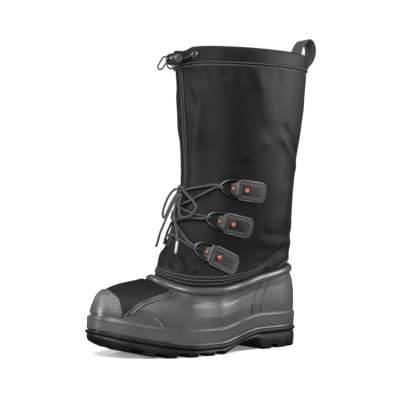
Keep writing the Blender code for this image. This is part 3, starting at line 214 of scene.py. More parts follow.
@dataclass(frozen=True)
class Last:
    """The boot's own surface: the same levels that the solids are made from."""

    length: float = 0.310
    ball_width: float = 0.118
    shell_height: float = 0.108
    collar_height: float = 0.390
    shaft_width: float = 0.126
    ledge: float = 0.005
    fore_thickness: float = 0.0133
    toe_thickness: float = 0.0110
    toe_spring: float = 0.025
    heel_height: float = 0.0268
    crest_turn: float = math.radians(8.0)
    gather_turn: float = math.radians(14.0)
    gather_level: float = 17.1
    gather_depth: float = 0.007
    gather_drop: float = 0.003
    rand_level: float = 1.0
    shell_level: float = 8.0
    collar_level: float = 18.0

    def outline_at(self, y: float) -> tuple[float, float]:
        """Foot outline at a place along the foot.

        Args:
            y: Place along the foot.

        Returns:
            Sideways shift and half width.
        """
        station = min(max(y / self.length + 0.5, 0.0), 1.0)
        index = 0
        while index < len(OUTLINE) - 2 and station > OUTLINE[index + 1].station:
            index += 1
        here, there = OUTLINE[index], OUTLINE[index + 1]
        part = (station - here.station) / (there.station - here.station)
        share = 0.5 * ease(part) + 0.5 * part
        shift, half = lerp(here.shift, there.shift, share), lerp(here.half, there.half, share)
        return shift * self.ball_width, half * self.ball_width

    def lip_height(self, y: float) -> float:
        """Height of the outsole's lip at a place along the foot.

        Args:
            y: Place along the foot.

        Returns:
            Height over the floor.
        """
        spring_end, shank_start, shank_end = 0.40, 0.49, 0.75  # shares of the length
        station = min(max(y / self.length + 0.5, 0.0), 1.0)
        spring = self.toe_spring + self.toe_thickness - self.fore_thickness
        toe = spring * max(0.0, (spring_end - station) / spring_end) ** 1.5
        shank = ease((station - shank_start) / (shank_end - shank_start))
        return self.fore_thickness + toe + (self.heel_height - self.fore_thickness) * shank

    def level_at(self, place: float) -> Level:
        """Smooth row of the table at a level between two rows.

        Args:
            place: Level.

        Returns:
            The row there.
        """
        index = min(max(int(math.floor(place)), 0), len(LEVELS) - 2)
        share = place - index
        last = len(LEVELS) - 1
        rows = [LEVELS[min(max(index + ahead, 0), last)] for ahead in (-1, 0, 1, 2)]
        return Level(*(cubic(*column, share) for column in zip(*rows)))

    def skin(self, place: float, turn: float) -> Vector:
        """Point of the upper's outer surface.

        Args:
            place: Level, from the sole to the collar.
            turn: Turn from the toe, in radians.

        Returns:
            The point.
        """
        row = self.level_at(place)
        cosine, sine = math.cos(turn), math.sin(turn)
        y = self.length * ((row.front + row.back) / 2.0 - cosine * (row.back - row.front) / 2.0)
        shift, half = self.outline_at(y)
        half = lerp((half - self.ledge) * row.width, self.shaft_width / 2.0 * row.width, row.oval)
        x = shift * (1.0 - row.oval) + half * math.copysign(abs(sine) ** row.power, sine)
        ahead = max(math.cos(turn + self.crest_turn), 0.0) ** row.crown
        behind = max(-cosine, 0.0) ** 1.3
        rise = row.side_rise
        rise += (row.front_rise - row.side_rise) * ahead
        rise += (row.back_rise - row.side_rise) * behind
        z = row.follow * self.lip_height(y) + rise * self.shell_height
        z += row.lift * (self.collar_height - self.shell_height)
        if place > self.gather_level:
            share = ease((place - self.gather_level) / (self.collar_level - self.gather_level))
            share *= math.exp(-((math.remainder(turn, math.tau) / self.gather_turn) ** 2))
            y += self.gather_depth * share
            z -= self.gather_drop * share
        return Vector((x, y, z))

    def frame_at(self, place: float, turn: float) -> tuple[Vector, Vector, Vector, Vector]:
        """Point of the upper with its unit directions.

        Args:
            place: Level.
            turn: Turn from the toe, in radians.

        Returns:
            Point, and directions rearwards, upwards and outwards.
        """
        point = self.skin(place, turn)
        around = (self.skin(place, turn + PROBE) - self.skin(place, turn - PROBE)).normalized()
        above = self.skin(min(place + PROBE, self.collar_level), turn)
        upward = above - self.skin(max(place - PROBE, 0.0), turn)
        outward = around.cross(upward).normalized()
        return point, around, outward.cross(around), outward

    def off(self, place: float, turn: float, offset: float) -> Vector:
        """Point at a distance out from the upper's surface.

        Args:
            place: Level.
            turn: Turn from the toe, in radians.
            offset: Distance outwards.

        Returns:
            The point.
        """
        point, _, _, outward = self.frame_at(place, turn)
        return point + outward * offset

    @cache
    def below(self, top: float, turn: float, distance: float) -> float:
        """Level that lies at a distance down the surface.

        Args:
            top: Higher level.
            turn: Turn from the toe, in radians.
            distance: Distance down the surface.

        Returns:
            The lower level.
        """
        place, walked = top, 0.0
        point = self.skin(place, turn)
        while walked < distance and place > self.rand_level:
            lower = self.skin(place - PROBE, turn)
            stride = (lower - point).length
            if walked + stride > distance:
                return place - PROBE * (distance - walked) / stride
            walked += stride
            place -= PROBE
            point = lower
        return place


LAST = Last()


# Shader tools

Value = Union["Wire", float]
Inputs = dict[Any, Any]


class Wire:
    """Output socket of a shader node; arithmetic on it adds Math nodes."""

    def __init__(self, finish: "Paint", socket: bpy.types.NodeSocket) -> None:
        """Keeps the socket and the material that it belongs to."""
        self.finish = finish
        self.socket = socket

    def _math(
        self, operation: str, first: Value, second: Value = 0.0, clamp: bool = False
    ) -> "Wire":
        """Math node on two values.

        Args:
            operation: Name of the Math node's operation.
            first: First value.
            second: Second value.
            clamp: Whether the result is held between 0 and 1.

        Returns:
            The result.
        """
        settings = {"operation": operation, "use_clamp": clamp}
        return self.finish.add("ShaderNodeMath", settings, {0: first, 1: second})

    def __add__(self, other: Value) -> "Wire":
        """Sum."""
        return self._math("ADD", self, other)

    __radd__ = __add__

    def __sub__(self, other: Value) -> "Wire":
        """Difference."""
        return self._math("SUBTRACT", self, other)

    def __rsub__(self, other: Value) -> "Wire":
        """Difference, from the other value."""
        return self._math("SUBTRACT", other, self)

    def __mul__(self, other: Value) -> "Wire":
        """Product."""
        return self._math("MULTIPLY", self, other)

    __rmul__ = __mul__

    def __truediv__(self, other: Value) -> "Wire":
        """Quotient."""
        return self._math("DIVIDE", self, other)

    def sine(self) -> "Wire":
        """Sine of the value."""
        return self._math("SINE", self)

    def distance(self) -> "Wire":
        """Value without its sign."""
        return self._math("ABSOLUTE", self)

    def part(self) -> "Wire":
        """Part of the value after its whole number."""
        return self._math("FRACT", self)

    def whole(self) -> "Wire":
        """Whole number under the value."""
        return self._math("FLOOR", self)

    def held(self) -> "Wire":
        """Value held between 0 and 1."""
        return self._math("ADD", self, 0.0, clamp=True)

    def smooth(self, low: float, high: float) -> "Wire":
        """Smooth step.

        Args:
            low: Value that gives 0.
            high: Value that gives 1.

        Returns:
            The eased share.
        """
        settings = {"interpolation_type": "SMOOTHSTEP"}
        inputs = {"Value": self, "From Min": low, "From Max": high, "To Min": 0.0, "To Max": 1.0}
        return self.finish.add("ShaderNodeMapRange", settings, inputs)


class Paint:
    """A material under construction: one Principled shader and what feeds it."""

    def __init__(self, name: str) -> None:
        """Makes an empty material of that name with its shader and output.

        Args:
            name: Name of the material.
        """
        self.material = bpy.data.materials.new(name)
        self.material.use_nodes = True
        self.tree = self.material.node_tree
        self.tree.nodes.clear()
        self.shader = self.tree.nodes.new("ShaderNodeBsdfPrincipled")
        output = self.tree.nodes.new("ShaderNodeOutputMaterial")
        self.tree.links.new(self.shader.outputs[0], output.inputs[0])

    def add(
        self, kind: str, settings: Optional[dict[str, Any]] = None,
        inputs: Optional[Inputs] = None, output: Union[int, str] = 0,
    ) -> Wire:
        """Any node: its settings first, then the values or links of its sockets.

        Args:
            kind: Type of the node.
            settings: Its properties.
            inputs: Values or wires by the socket's name or number.
            output: The output socket that is returned.

        Returns:
            Wire on that output.
        """
        node = self.tree.nodes.new(kind)
        for name, value in (settings or {}).items():
            setattr(node, name, value)
        for key, value in (inputs or {}).items():
            self._feed(node.inputs[key], value)
        return Wire(self, node.outputs[output])

    def _feed(self, socket: bpy.types.NodeSocket, value: Any) -> None:
        """Link or value of one input socket.

        Args:
            socket: Input socket.
            value: Wire, number, colour or vector.
        """
        if isinstance(value, Wire):
            self.tree.links.new(value.socket, socket)
        elif hasattr(value, "__len__") and len(value) == 3 and socket.type == "RGBA":
            socket.default_value = (*value, 1.0)
        else:
            socket.default_value = value

    def set(self, **sockets: Any) -> None:
        """Inputs of the shader, with spaces in their names written as underscores."""
        for name, value in sockets.items():
            self._feed(self.shader.inputs[name.replace("_", " ")], value)

    def laid(self) -> tuple[Wire, Wire]:
        """Coordinates of the piece's own UV map, in metres.

        Returns:
            Across and along.
        """
        uv = self.add("ShaderNodeTexCoord", output="UV")
        split = self.add("ShaderNodeSeparateXYZ", inputs={0: uv})
        return split, Wire(self, split.socket.node.outputs[1])

    def noise(self, scale: float, detail: float = 2.0, rough: float = 0.5) -> Wire:
        """Noise from 0 to 1, by Object coordinates.

        Args:
            scale: Waves in a metre.
            detail: Octaves.
            rough: Strength of the finer octaves.

        Returns:
            The noise.
        """
        where = self.add("ShaderNodeTexCoord", output="Object")
        inputs = {"Vector": where, "Scale": scale, "Detail": detail, "Roughness": rough}
        return self.add("ShaderNodeTexNoise", inputs=inputs)

    def cells(self, scale: float) -> Wire:
        """Distance to the edges of a cell pattern, by Object coordinates.

        Args:
            scale: Cells in a metre.

        Returns:
            The distance.
        """
        where = self.add("ShaderNodeTexCoord", output="Object")
        settings = {"feature": "DISTANCE_TO_EDGE"}
        return self.add("ShaderNodeTexVoronoi", settings, {"Vector": where, "Scale": scale})

    def mix(self, share: Value, first: Any, second: Any) -> Wire:
        """Colour between two colours.

        Args:
            share: 0 for the first, 1 for the second.
            first: Colour or wire.
            second: Colour or wire.

        Returns:
            The colour.
        """
        settings = {"data_type": "RGBA"}
        return self.add("ShaderNodeMix", settings, {0: share, 6: first, 7: second}, output=2)

    def bump(self, height: Wire, distance: float) -> Wire:
        """Normal from a height.

        Args:
            height: Height from 0 to 1.
            distance: What a height of 1 stands for, in metres.

        Returns:
            The normal.
        """
        inputs = {"Height": height, "Distance": distance, "Strength": 1.0}
        return self.add("ShaderNodeBump", inputs=inputs)


# Finishes

Colour = tuple[float, float, float]


class Finish:
    """A finish of the boot: its name and sizes, and how it feeds the shader."""

    name: str

    def material(self) -> bpy.types.Material:
        """Builds the material.

        Returns:
            The material.
        """
        paint = Paint(self.name)
        self.feed(paint)
        return paint.material

    def feed(self, paint: Paint) -> None:
        """Feeds the shader; each finish has its own way."""
        raise NotImplementedError


@dataclass(frozen=True)
class Rubber(Finish):
    """Moulded rubber with a fine stipple and a little dust in its hollows."""

    name: str = "boot_rubber_finish"
    colour: Colour = (0.039, 0.039, 0.040)
    patch_colour: Colour = (0.060, 0.060, 0.061)
    roughness: float = 0.32
    spread: float = 0.08
    stipple: float = 1400.0
    depth: float = 0.00006
    gloss: float = 0.5

    def feed(self, paint: Paint) -> None:
        """Feeds the shader.

        Args:
            paint: Material that is built.
        """
        clouds = paint.noise(28.0, 4.0, 0.6)
        fine = paint.noise(self.stipple, 2.0, 0.6)
        wide = paint.noise(9.0, 1.0)
        paint.set(
            Base_Color=paint.mix(clouds.smooth(0.35, 0.8), self.colour, self.patch_colour),
            Roughness=self.roughness + (clouds - 0.5) * self.spread + (wide - 0.5) * self.spread,
            Normal=paint.bump(fine * 0.7 + clouds * 0.6, self.depth),
            Specular_IOR_Level=self.gloss,
        )


@dataclass(frozen=True)
class HatchedRubber(Finish):
    """Moulded rubber with crossing ribs that fade out, laid by the piece's own map."""

    name: str = "toe_rubber_finish"
    colour: Colour = (0.036, 0.036, 0.037)
    # The light colour is a painted highlight on the ribs, with a little wear.
    light: Colour = (0.140, 0.140, 0.142)
    roughness: float = 0.34
    pitch: float = 0.0044
    depth: float = 0.00045

    def feed(self, paint: Paint) -> None:
        """Feeds the shader; the map's "along" runs from the rear edge forwards.

        Args:
            paint: Material that is built.
        """
        across, along = paint.laid()
        rate = math.tau / self.pitch
        first = ((across + along) * rate).sine() * 0.5 + 0.5
        second = ((across - along) * rate).sine() * 0.5 + 0.5
        mask = 1.0 - along.smooth(0.012, 0.040)
        ribs = (first * 0.65 + second * 0.35) * mask
        fine = paint.noise(1400.0, 2.0, 0.6)
        clouds = paint.noise(28.0, 4.0, 0.6)
        # Ribs are painted lighter and grooves darker: painted highlight on the ribs and painted
        # shade in the grooves, with a little wear.
        shade = ribs.smooth(0.45, 0.85) * 0.9 + clouds * 0.1
        paint.set(
            Base_Color=paint.mix(shade, self.colour, self.light),
            Roughness=self.roughness + ribs * 0.10 + (clouds - 0.5) * 0.12,
            Normal=paint.bump(ribs + fine * 0.12, self.depth),
            Specular_IOR_Level=0.5,
        )


@dataclass(frozen=True)
class Weave(Finish):
    """Coated plain weave, laid by the piece's own map in metres."""

    name: str = "woven_nylon_finish"
    warp: Colour = (0.0013, 0.0012, 0.0013)
    weft: Colour = (0.0038, 0.0036, 0.0037)
    roughness: float = 0.38
    pitch: float = 0.00105
    depth: float = 0.00014
    sheen: float = 0.02

    def feed(self, paint: Paint) -> None:
        """Feeds the shader.

        Args:
            paint: Material that is built.
        """
        across, along = paint.laid()
        column, row = across / self.pitch, along / self.pitch
        check = ((column.whole() + row.whole()) * 0.5).part() * 2.0
        yarn_up = ((column.part() - 0.5) * math.pi).sine().distance()
        yarn_side = ((row.part() - 0.5) * math.pi).sine().distance()
        upright = (1.0 - yarn_up) * check
        level = (1.0 - yarn_side) * (1.0 - check)
        height = upright + level
        slub = paint.noise(260.0, 3.0, 0.7)
        clouds = paint.noise(22.0, 4.0, 0.6)
        shade = check * 0.35 + slub * 0.35 + clouds * 0.5 - 0.1
        paint.set(
            Base_Color=paint.mix(shade.held(), self.warp, self.weft),
            Roughness=self.roughness + (slub - 0.5) * 0.16 + (clouds - 0.5) * 0.14,
            Normal=paint.bump(height + slub * 0.5, self.depth),
            Sheen_Weight=self.sheen,
            Sheen_Roughness=0.45,
            Specular_IOR_Level=0.14,
        )


@dataclass(frozen=True)
class Leather(Finish):
    """Grained leather or coated leather-like sheet."""

    name: str = "tab_leather_finish"
    colour: Colour = (0.004, 0.004, 0.004)
    worn: Colour = (0.016, 0.016, 0.015)
    roughness: float = 0.34
    grain: float = 900.0
    depth: float = 0.00010

    def feed(self, paint: Paint) -> None:
        """Feeds the shader.

        Args:
            paint: Material that is built.
        """
        pores = paint.cells(self.grain).smooth(0.0, 0.25)
        clouds = paint.noise(90.0, 3.0, 0.6)
        paint.set(
            Base_Color=paint.mix(clouds.smooth(0.4, 0.85), self.colour, self.worn),
            Roughness=self.roughness + (clouds - 0.5) * 0.2,
            Normal=paint.bump(pores + clouds * 0.6, self.depth),
            Specular_IOR_Level=0.5,
        )


@dataclass(frozen=True)
class Thread(Finish):
    """Twisted sewing thread."""

    name: str = "thread_finish"
    colour: Colour = (0.260, 0.255, 0.250)
    dark: Colour = (0.090, 0.088, 0.086)
    roughness: float = 0.6

    def feed(self, paint: Paint) -> None:
        """Feeds the shader.

        Args:
            paint: Material that is built.
        """
        twist = paint.noise(2200.0, 1.0)
        paint.set(
            Base_Color=paint.mix(twist, self.dark, self.colour),
            Roughness=self.roughness + (twist - 0.5) * 0.2,
            Normal=paint.bump(twist, 0.00008),
        )


@dataclass(frozen=True)
class Metal(Finish):
    """Plated steel with faint scratches."""

    name: str = "grey_steel_finish"
    colour: Colour = (0.17, 0.17, 0.18)
    stain: Colour = (0.05, 0.05, 0.05)
    roughness: float = 0.30

    def feed(self, paint: Paint) -> None:
        """Feeds the shader.

        Args:
            paint: Material that is built.
        """
        clouds = paint.noise(160.0, 4.0, 0.65)
        fine = paint.noise(1800.0, 2.0)
        paint.set(
            Base_Color=paint.mix(clouds.smooth(0.45, 0.8), self.colour, self.stain),
            Metallic=1.0,
            Roughness=self.roughness + (clouds - 0.5) * 0.25 + (fine - 0.5) * 0.08,
            Normal=paint.bump(fine, 0.00002),
        )


@dataclass(frozen=True)
class Enamel(Finish):
    """Glossy paint on a rivet head, a little uneven."""

    name: str = "orange_enamel_finish"
    colour: Colour = (0.44, 0.070, 0.036)
    deep: Colour = (0.22, 0.028, 0.016)
    roughness: float = 0.34

    def feed(self, paint: Paint) -> None:
        """Feeds the shader.

        Args:
            paint: Material that is built.
        """
        clouds = paint.noise(420.0, 3.0, 0.6)
        paint.set(
            Base_Color=paint.mix(clouds.smooth(0.45, 0.75), self.colour, self.deep),
            Roughness=self.roughness + (clouds - 0.5) * 0.2,
            Normal=paint.bump(clouds, 0.00004),
        )


@dataclass(frozen=True)
class Plastic(Finish):
    """Glossy moulded plastic, a little lighter in fine cloudy patches."""

    name: str = "lock_plastic_finish"
    colour: Colour = (0.010, 0.010, 0.011)
    patch_tone: Colour = (0.020, 0.020, 0.021)
    roughness: float = 0.16

    def feed(self, paint: Paint) -> None:
        """Feeds the shader.

        Args:
            paint: Material that is built.
        """
        clouds = paint.noise(300.0, 3.0, 0.6)
        paint.set(
            Base_Color=paint.mix(clouds, self.colour, self.patch_tone),
            Roughness=self.roughness + (clouds - 0.5) * 0.12,
            Normal=paint.bump(clouds, 0.00003),
        )


@dataclass(frozen=True)
class Braid(Finish):
    """Round braid, laid by the cord's own map: round it and along it, in metres."""

    name: str = "black_braid_finish"
    colour: Colour = (0.007, 0.007, 0.007)
    light: Colour = (0.026, 0.026, 0.027)
    plait: float = 0.0016
    roughness: float = 0.58
    depth: float = 0.00022

    def feed(self, paint: Paint) -> None:
        """Feeds the shader.

        Args:
            paint: Material that is built.
        """
        around, along = paint.laid()
        rate = math.pi / self.plait
        right = ((around + along) * rate).sine().distance()
        left = ((around - along) * rate).sine().distance()
        strands = right * left
        fuzz = paint.noise(1500.0, 2.0)
        paint.set(
            Base_Color=paint.mix((strands * 0.8 + fuzz * 0.3).held(), self.colour, self.light),
            Roughness=self.roughness + (fuzz - 0.5) * 0.2,
            Normal=paint.bump(strands + fuzz * 0.3, self.depth),
            Sheen_Weight=0.1,
        )


@dataclass(frozen=True)
class Webbing(Finish):
    """Flat webbing with ribs along its length, laid by its own map in metres."""

    name: str = "black_webbing_finish"
    colour: Colour = (0.011, 0.011, 0.011)
    light: Colour = (0.028, 0.028, 0.029)
    pitch: float = 0.0021
    depth: float = 0.00025

    def feed(self, paint: Paint) -> None:
        """Feeds the shader.

        Args:
            paint: Material that is built.
        """
        across, along = paint.laid()
        lean = (across * (math.pi / self.pitch)).sine().distance()
        chevron = ((along + lean * self.pitch * 0.5) * (math.tau / self.pitch)).sine() * 0.5 + 0.5
        height = lean * 0.6 + chevron * 0.5
        fuzz = paint.noise(900.0, 2.0)
        paint.set(
            Base_Color=paint.mix((height * 0.6 + fuzz * 0.3).held(), self.colour, self.light),
            Roughness=0.7 + (fuzz - 0.5) * 0.2,
            Normal=paint.bump(height + fuzz * 0.3, self.depth),
            Sheen_Weight=0.1,
        )


@dataclass(frozen=True)
class Felt(Finish):
    """Pressed felt of the insole."""

    name: str = "insole_felt_finish"
    colour: Colour = (0.05, 0.05, 0.05)
    light: Colour = (0.12, 0.12, 0.12)

    def feed(self, paint: Paint) -> None:
        """Feeds the shader.

        Args:
            paint: Material that is built.
        """
        fibre = paint.noise(900.0, 4.0, 0.75)
        clouds = paint.noise(60.0, 3.0)
        paint.set(
            Base_Color=paint.mix(fibre * 0.7 + clouds * 0.3, self.colour, self.light),
            Roughness=0.9 + (fibre - 0.5) * 0.1,
            Normal=paint.bump(fibre + clouds * 0.5, 0.0003),
            Sheen_Weight=0.2,
        )


class Wardrobe:
    """Every finish of the boot, each material made once."""

    FINISHES: dict[Slot, Finish] = {
        Slot.RUBBER: Rubber(),
        Slot.TREAD: Rubber(
            name="sole_rubber_finish", colour=(0.002, 0.002, 0.002), patch_colour=(0.006, 0.006, 0.006),
            roughness=0.50, depth=0.00012, gloss=0.25,
        ),
        Slot.NYLON: Weave(),
        Slot.LEATHER: Leather(),
        Slot.FELT: Felt(),
        Slot.STEEL: Metal(),
        Slot.ENAMEL: Enamel(),
        Slot.PLASTIC: Plastic(),
        Slot.BRAID: Braid(),
        Slot.WEBBING: Webbing(),
    }

    def __init__(self) -> None:
        """Starts with nothing made."""
        self.made: dict[str, bpy.types.Material] = {}

    def of(self, finish: Any) -> bpy.types.Material:
        """Material of a finish.

        Args:
            finish: Finish, or the slot that it belongs to.

        Returns:
            The material.
        """
        finish = self.FINISHES[finish] if isinstance(finish, Slot) else finish
        if finish.name not in self.made:
            self.made[finish.name] = finish.material()
        return self.made[finish.name]


WARDROBE = Wardrobe()


# Modelling tools

Lay = Callable[[float, float], Vector]


def deselect() -> None:
    """Leaves nothing selected, in object mode."""
    if bpy.context.object is not None and bpy.context.object.mode != "OBJECT":
        bpy.ops.object.mode_set(mode="OBJECT")
    bpy.ops.object.select_all(action="DESELECT")


def focus(item: bpy.types.Object) -> None:
    """Selects one object alone and makes it the active one.

    Args:
        item: The object.
    """
    deselect()
    item.select_set(True)
    bpy.context.view_layer.objects.active = item


@contextmanager
def editing(item: bpy.types.Object) -> Iterator[None]:
    """Edit mode on one object, with all of its mesh selected.

    Args:
        item: Mesh object.
    """
    focus(item)
    bpy.ops.object.mode_set(mode="EDIT")
    bpy.ops.mesh.select_all(action="SELECT")
    yield
    bpy.ops.object.mode_set(mode="OBJECT")


def mend(item: bpy.types.Object) -> None:
    """Merges doubles and turns the faces of a closed mesh outwards.

    Args:
        item: Mesh object.
    """
    with editing(item):
        bpy.ops.mesh.remove_doubles(threshold=1.0e-6)
        bpy.ops.mesh.normals_make_consistent(inside=False)


def change(item: bpy.types.Object, kind: str, **settings: Any) -> None:
    """Adds a modifier and applies it.

    Args:
        item: Mesh object.
        kind: Type of the modifier.
        settings: Its properties.
    """
    focus(item)
    modifier = item.modifiers.new(kind.lower(), kind)
    for name, value in settings.items():
        setattr(modifier, name, value)
    bpy.ops.object.modifier_apply(modifier=modifier.name)


def smooth(item: bpy.types.Object, degrees: float = 40.0) -> None:
    """Smooth shading with sharp edges past an angle."""
    focus(item)
    bpy.ops.object.shade_smooth_by_angle(angle=math.radians(degrees))


def dress(
    item: bpy.types.Object, finish: Any, slot: Slot,
    replaces: Sequence[str] = (), body: str = BODY,
) -> bpy.types.Object:
    """Material and place of a finished piece.

    Args:
        item: The piece.
        finish: Finish or slot that gives its material.
        slot: Material slot; not used.
        replaces: CAD nodes that it stands for.
        body: CAD body that it rides on.

    Returns:
        The piece.
    """
    item.data.materials.clear()
    item.data.materials.append(WARDROBE.of(finish))
    if replaces:
        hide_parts(*replaces)
    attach(item, body)
    LOG.info("%s: %s", item.name, finish if isinstance(finish, Slot) else finish.name)
    return item


def path_length(points: Sequence[Vector]) -> float:
    """Length of the line through points."""
    return sum((there - here).length for here, there in zip(points, points[1:]))


def laid_grid(name: str, columns: int, rows: int, lay: Lay, flip: bool = False) -> bpy.types.Object:
    """Grid primitive whose points are laid on a surface, with its map in metres.

    Args:
        name: Name of the piece.
        columns: Faces across.
        rows: Faces along.
        lay: Point for shares across and along.
        flip: Whether the grid is laid from its other side, to face the other way.

    Returns:
        The grid's object.
    """
    deselect()
    bpy.ops.mesh.primitive_grid_add(x_subdivisions=columns, y_subdivisions=rows, size=2.0)
    item = bpy.context.object
    item.name = item.data.name = name
    mesh = item.data
    spots: dict[tuple[int, int], Vector] = {}
    for vert in mesh.vertices:
        column = round((vert.co.x + 1.0) / 2.0 * columns)
        row = round((vert.co.y + 1.0) / 2.0 * rows)
        across = 1.0 - column / columns if flip else column / columns
        vert.co = lay(across, row / rows)
        spots[column, row] = vert.co.copy()
    width = path_length([spots[step, rows // 2] for step in range(columns + 1)])
    height = path_length([spots[columns // 2, step] for step in range(rows + 1)])
    for loop in mesh.uv_layers.active.data:
        across = 1.0 - loop.uv.x if flip else loop.uv.x
        loop.uv = (across * width, loop.uv.y * height)
    mesh.update()
    return item


def laid_pad(
    name: str, columns: int, rows: int, lay: Lay, thickness: float, flip: bool = False
) -> bpy.types.Object:
    """Closed pad: a laid grid with its thickness below it.

    Args:
        name: Name of the piece.
        columns: Faces across.
        rows: Faces along.
        lay: Point of the top for shares across and along.
        thickness: Thickness below the top.
        flip: Whether the grid faces the other way.

    Returns:
        The pad's object.
    """
    item = laid_grid(name, columns, rows, lay, flip)
    change(item, "SOLIDIFY", thickness=thickness, offset=-1.0)
    smooth(item, 50.0)
    return item


def smooth_path(points: Sequence[Sequence[float]], spacing: float) -> list[Vector]:
    """Evenly spaced points on the smooth curve through chosen points.

    Args:
        points: Chosen points.
        spacing: Distance between two points of the result.

    Returns:
        The points.
    """
    dense = []
    last = len(points) - 1
    for index in range(last):
        four = [points[min(max(index + step, 0), last)] for step in (-1, 0, 1, 2)]
        for part in range(16):
            dense.append(Vector([cubic(*axis, part / 16.0) for axis in zip(*four)]))
    dense.append(Vector(points[-1]))
    total = path_length(dense)
    count = max(2, round(total / spacing))
    result, walked, target = [dense[0]], 0.0, total / count
    for here, there in zip(dense, dense[1:]):
        stride = (there - here).length
        while walked + stride >= target - 1.0e-9 and len(result) < count:
            result.append(here.lerp(there, (target - walked) / stride))
            target += total / count
        walked += stride
    result.append(dense[-1])
    return result


def frames_along(points: Sequence[Vector], closed: bool = False) -> list[tuple[Vector, Vector]]:
    """Two directions across a path at each point, turning as little as they can.

    Args:
        points: The path.
        closed: Whether the path is a loop.

    Returns:
        Pairs of unit directions.
    """
    count = len(points)
    ways = []
    for index in range(count):
        if closed:
            way = points[(index + 1) % count] - points[index - 1]
        else:
            way = points[min(index + 1, count - 1)] - points[max(index - 1, 0)]
        ways.append(way.normalized())
    first = ways[0].orthogonal().normalized()
    frames = []
    for way in ways:
        first = (first - way * first.dot(way)).normalized()
        frames.append((first.copy(), way.cross(first)))
    return frames


def tube(
    name: str, points: Sequence[Vector], radius: float, sides: int = 12,
    closed: bool = False, girth: Optional[Callable[[float], float]] = None,
) -> bpy.types.Object:
    """Tube along a path, from a grid primitive rolled round it, with its map in metres.

    Args:
        name: Name of the piece.
        points: The path.
        radius: Radius of the tube.
        sides: Faces round it.
        closed: Whether the path is a loop.
        girth: Share of the radius at a share of the length.

    Returns:
        The tube's object.
    """
    path = list(points) + ([points[0]] if closed else [])
    frames = frames_along(points, closed)
    if closed:
        frames.append(frames[0])
    rows = len(path) - 1

    def lay(across: float, along: float) -> Vector:
        """Point of the wall for shares round it and along it."""
        index = round(along * rows)
        angle = math.tau * across
        side, up = frames[index]
        size = radius * (girth(along) if girth else 1.0)
        return path[index] + (side * math.cos(angle) + up * math.sin(angle)) * size

    item = laid_grid(name, sides, rows, lay)
    with editing(item):
        bpy.ops.mesh.remove_doubles(threshold=1.0e-7)
        if not closed:
            bpy.ops.mesh.select_all(action="DESELECT")
            bpy.ops.mesh.select_non_manifold()
            bpy.ops.mesh.edge_face_add()
            bpy.ops.mesh.select_all(action="SELECT")
        bpy.ops.mesh.normals_make_consistent(inside=False)
    smooth(item, 60.0)
    return item


def joined(name: str, items: Sequence[bpy.types.Object]) -> bpy.types.Object:
    """One object of several meshes.

    Args:
        name: Name of the result.
        items: Objects that are joined.

    Returns:
        The object.
    """
    deselect()
    for item in items:
        item.select_set(True)
    bpy.context.view_layer.objects.active = items[0]
    if len(items) > 1:
        bpy.ops.object.join()
    item = bpy.context.object
    item.name = item.data.name = name
    return item


Trail = tuple[Sequence[Vector], Sequence[Vector]]


@dataclass
class Stitches:
    """Rows of sewn stitches: one stitch is modelled once and copied along the rows."""

    length: float = 0.0022
    gap: float = 0.0009
    width: float = 0.0007
    rise: float = 0.0003

    def model(self) -> bpy.types.Mesh:
        """One stitch, a short rounded bar along X.

        Returns:
            Its mesh.
        """
        deselect()
        bpy.ops.mesh.primitive_cylinder_add(
            vertices=6, radius=0.5, depth=1.0, rotation=(0.0, math.pi / 2.0, 0.0)
        )
        item = bpy.context.object
        bpy.ops.object.transform_apply(location=True, rotation=True, scale=True)
        with editing(item):
            bpy.ops.mesh.bisect(plane_co=(0.0, 0.0, 0.0), plane_no=(1.0, 0.0, 0.0))
        for vert in item.data.vertices:
            share, drop = (1.0, 0.0) if abs(vert.co.x) < 0.25 else (0.45, 0.35)
            vert.co.x *= self.length
            vert.co.y *= self.width * share
            vert.co.z = vert.co.z * self.width * 0.8 * share - drop * self.width
        mesh = item.data
        bpy.data.objects.remove(item)
        return mesh

    def run(self, rows: Iterable[Trail], name: str) -> bpy.types.Object:
        """Stitches along rows.

        Args:
            rows: For each row its points and the outward direction at each.
            name: Name of the piece.

        Returns:
            One object with every stitch.
        """
        model = self.model()
        made = bmesh.new()
        step = self.length + self.gap
        for points, outs in rows:
            walked, target = 0.0, step / 2.0
            for here, there, out_here, out_there in zip(points, points[1:], outs, outs[1:]):
                stride = (there - here).length
                while stride > 0.0 and walked + stride >= target:
                    share = (target - walked) / stride
                    way = (there - here).normalized()
                    out = out_here.lerp(out_there, share)
                    out = (out - way * out.dot(way)).normalized()
                    turn = Matrix((way, out.cross(way), out)).transposed().to_4x4()
                    spot = here.lerp(there, share) + out * self.rise
                    place = Matrix.Translation(spot) @ turn
                    before = len(made.verts)
                    made.from_mesh(model)
                    made.verts.ensure_lookup_table()
                    bmesh.ops.transform(made, matrix=place, verts=made.verts[before:])
                    target += step
                walked += stride
        mesh = bpy.data.meshes.new(name)
        made.to_mesh(mesh)
        made.free()
        bpy.data.meshes.remove(model)
        item = bpy.data.objects.new(name, mesh)
        bpy.context.scene.collection.objects.link(item)
        smooth(item, 80.0)
        return item

    def sew(self, rows: Iterable[Trail], name: str, slot: Slot) -> None:
        """Stitches along rows, in thread."""
        dress(self.run(rows, name), Thread(), slot)


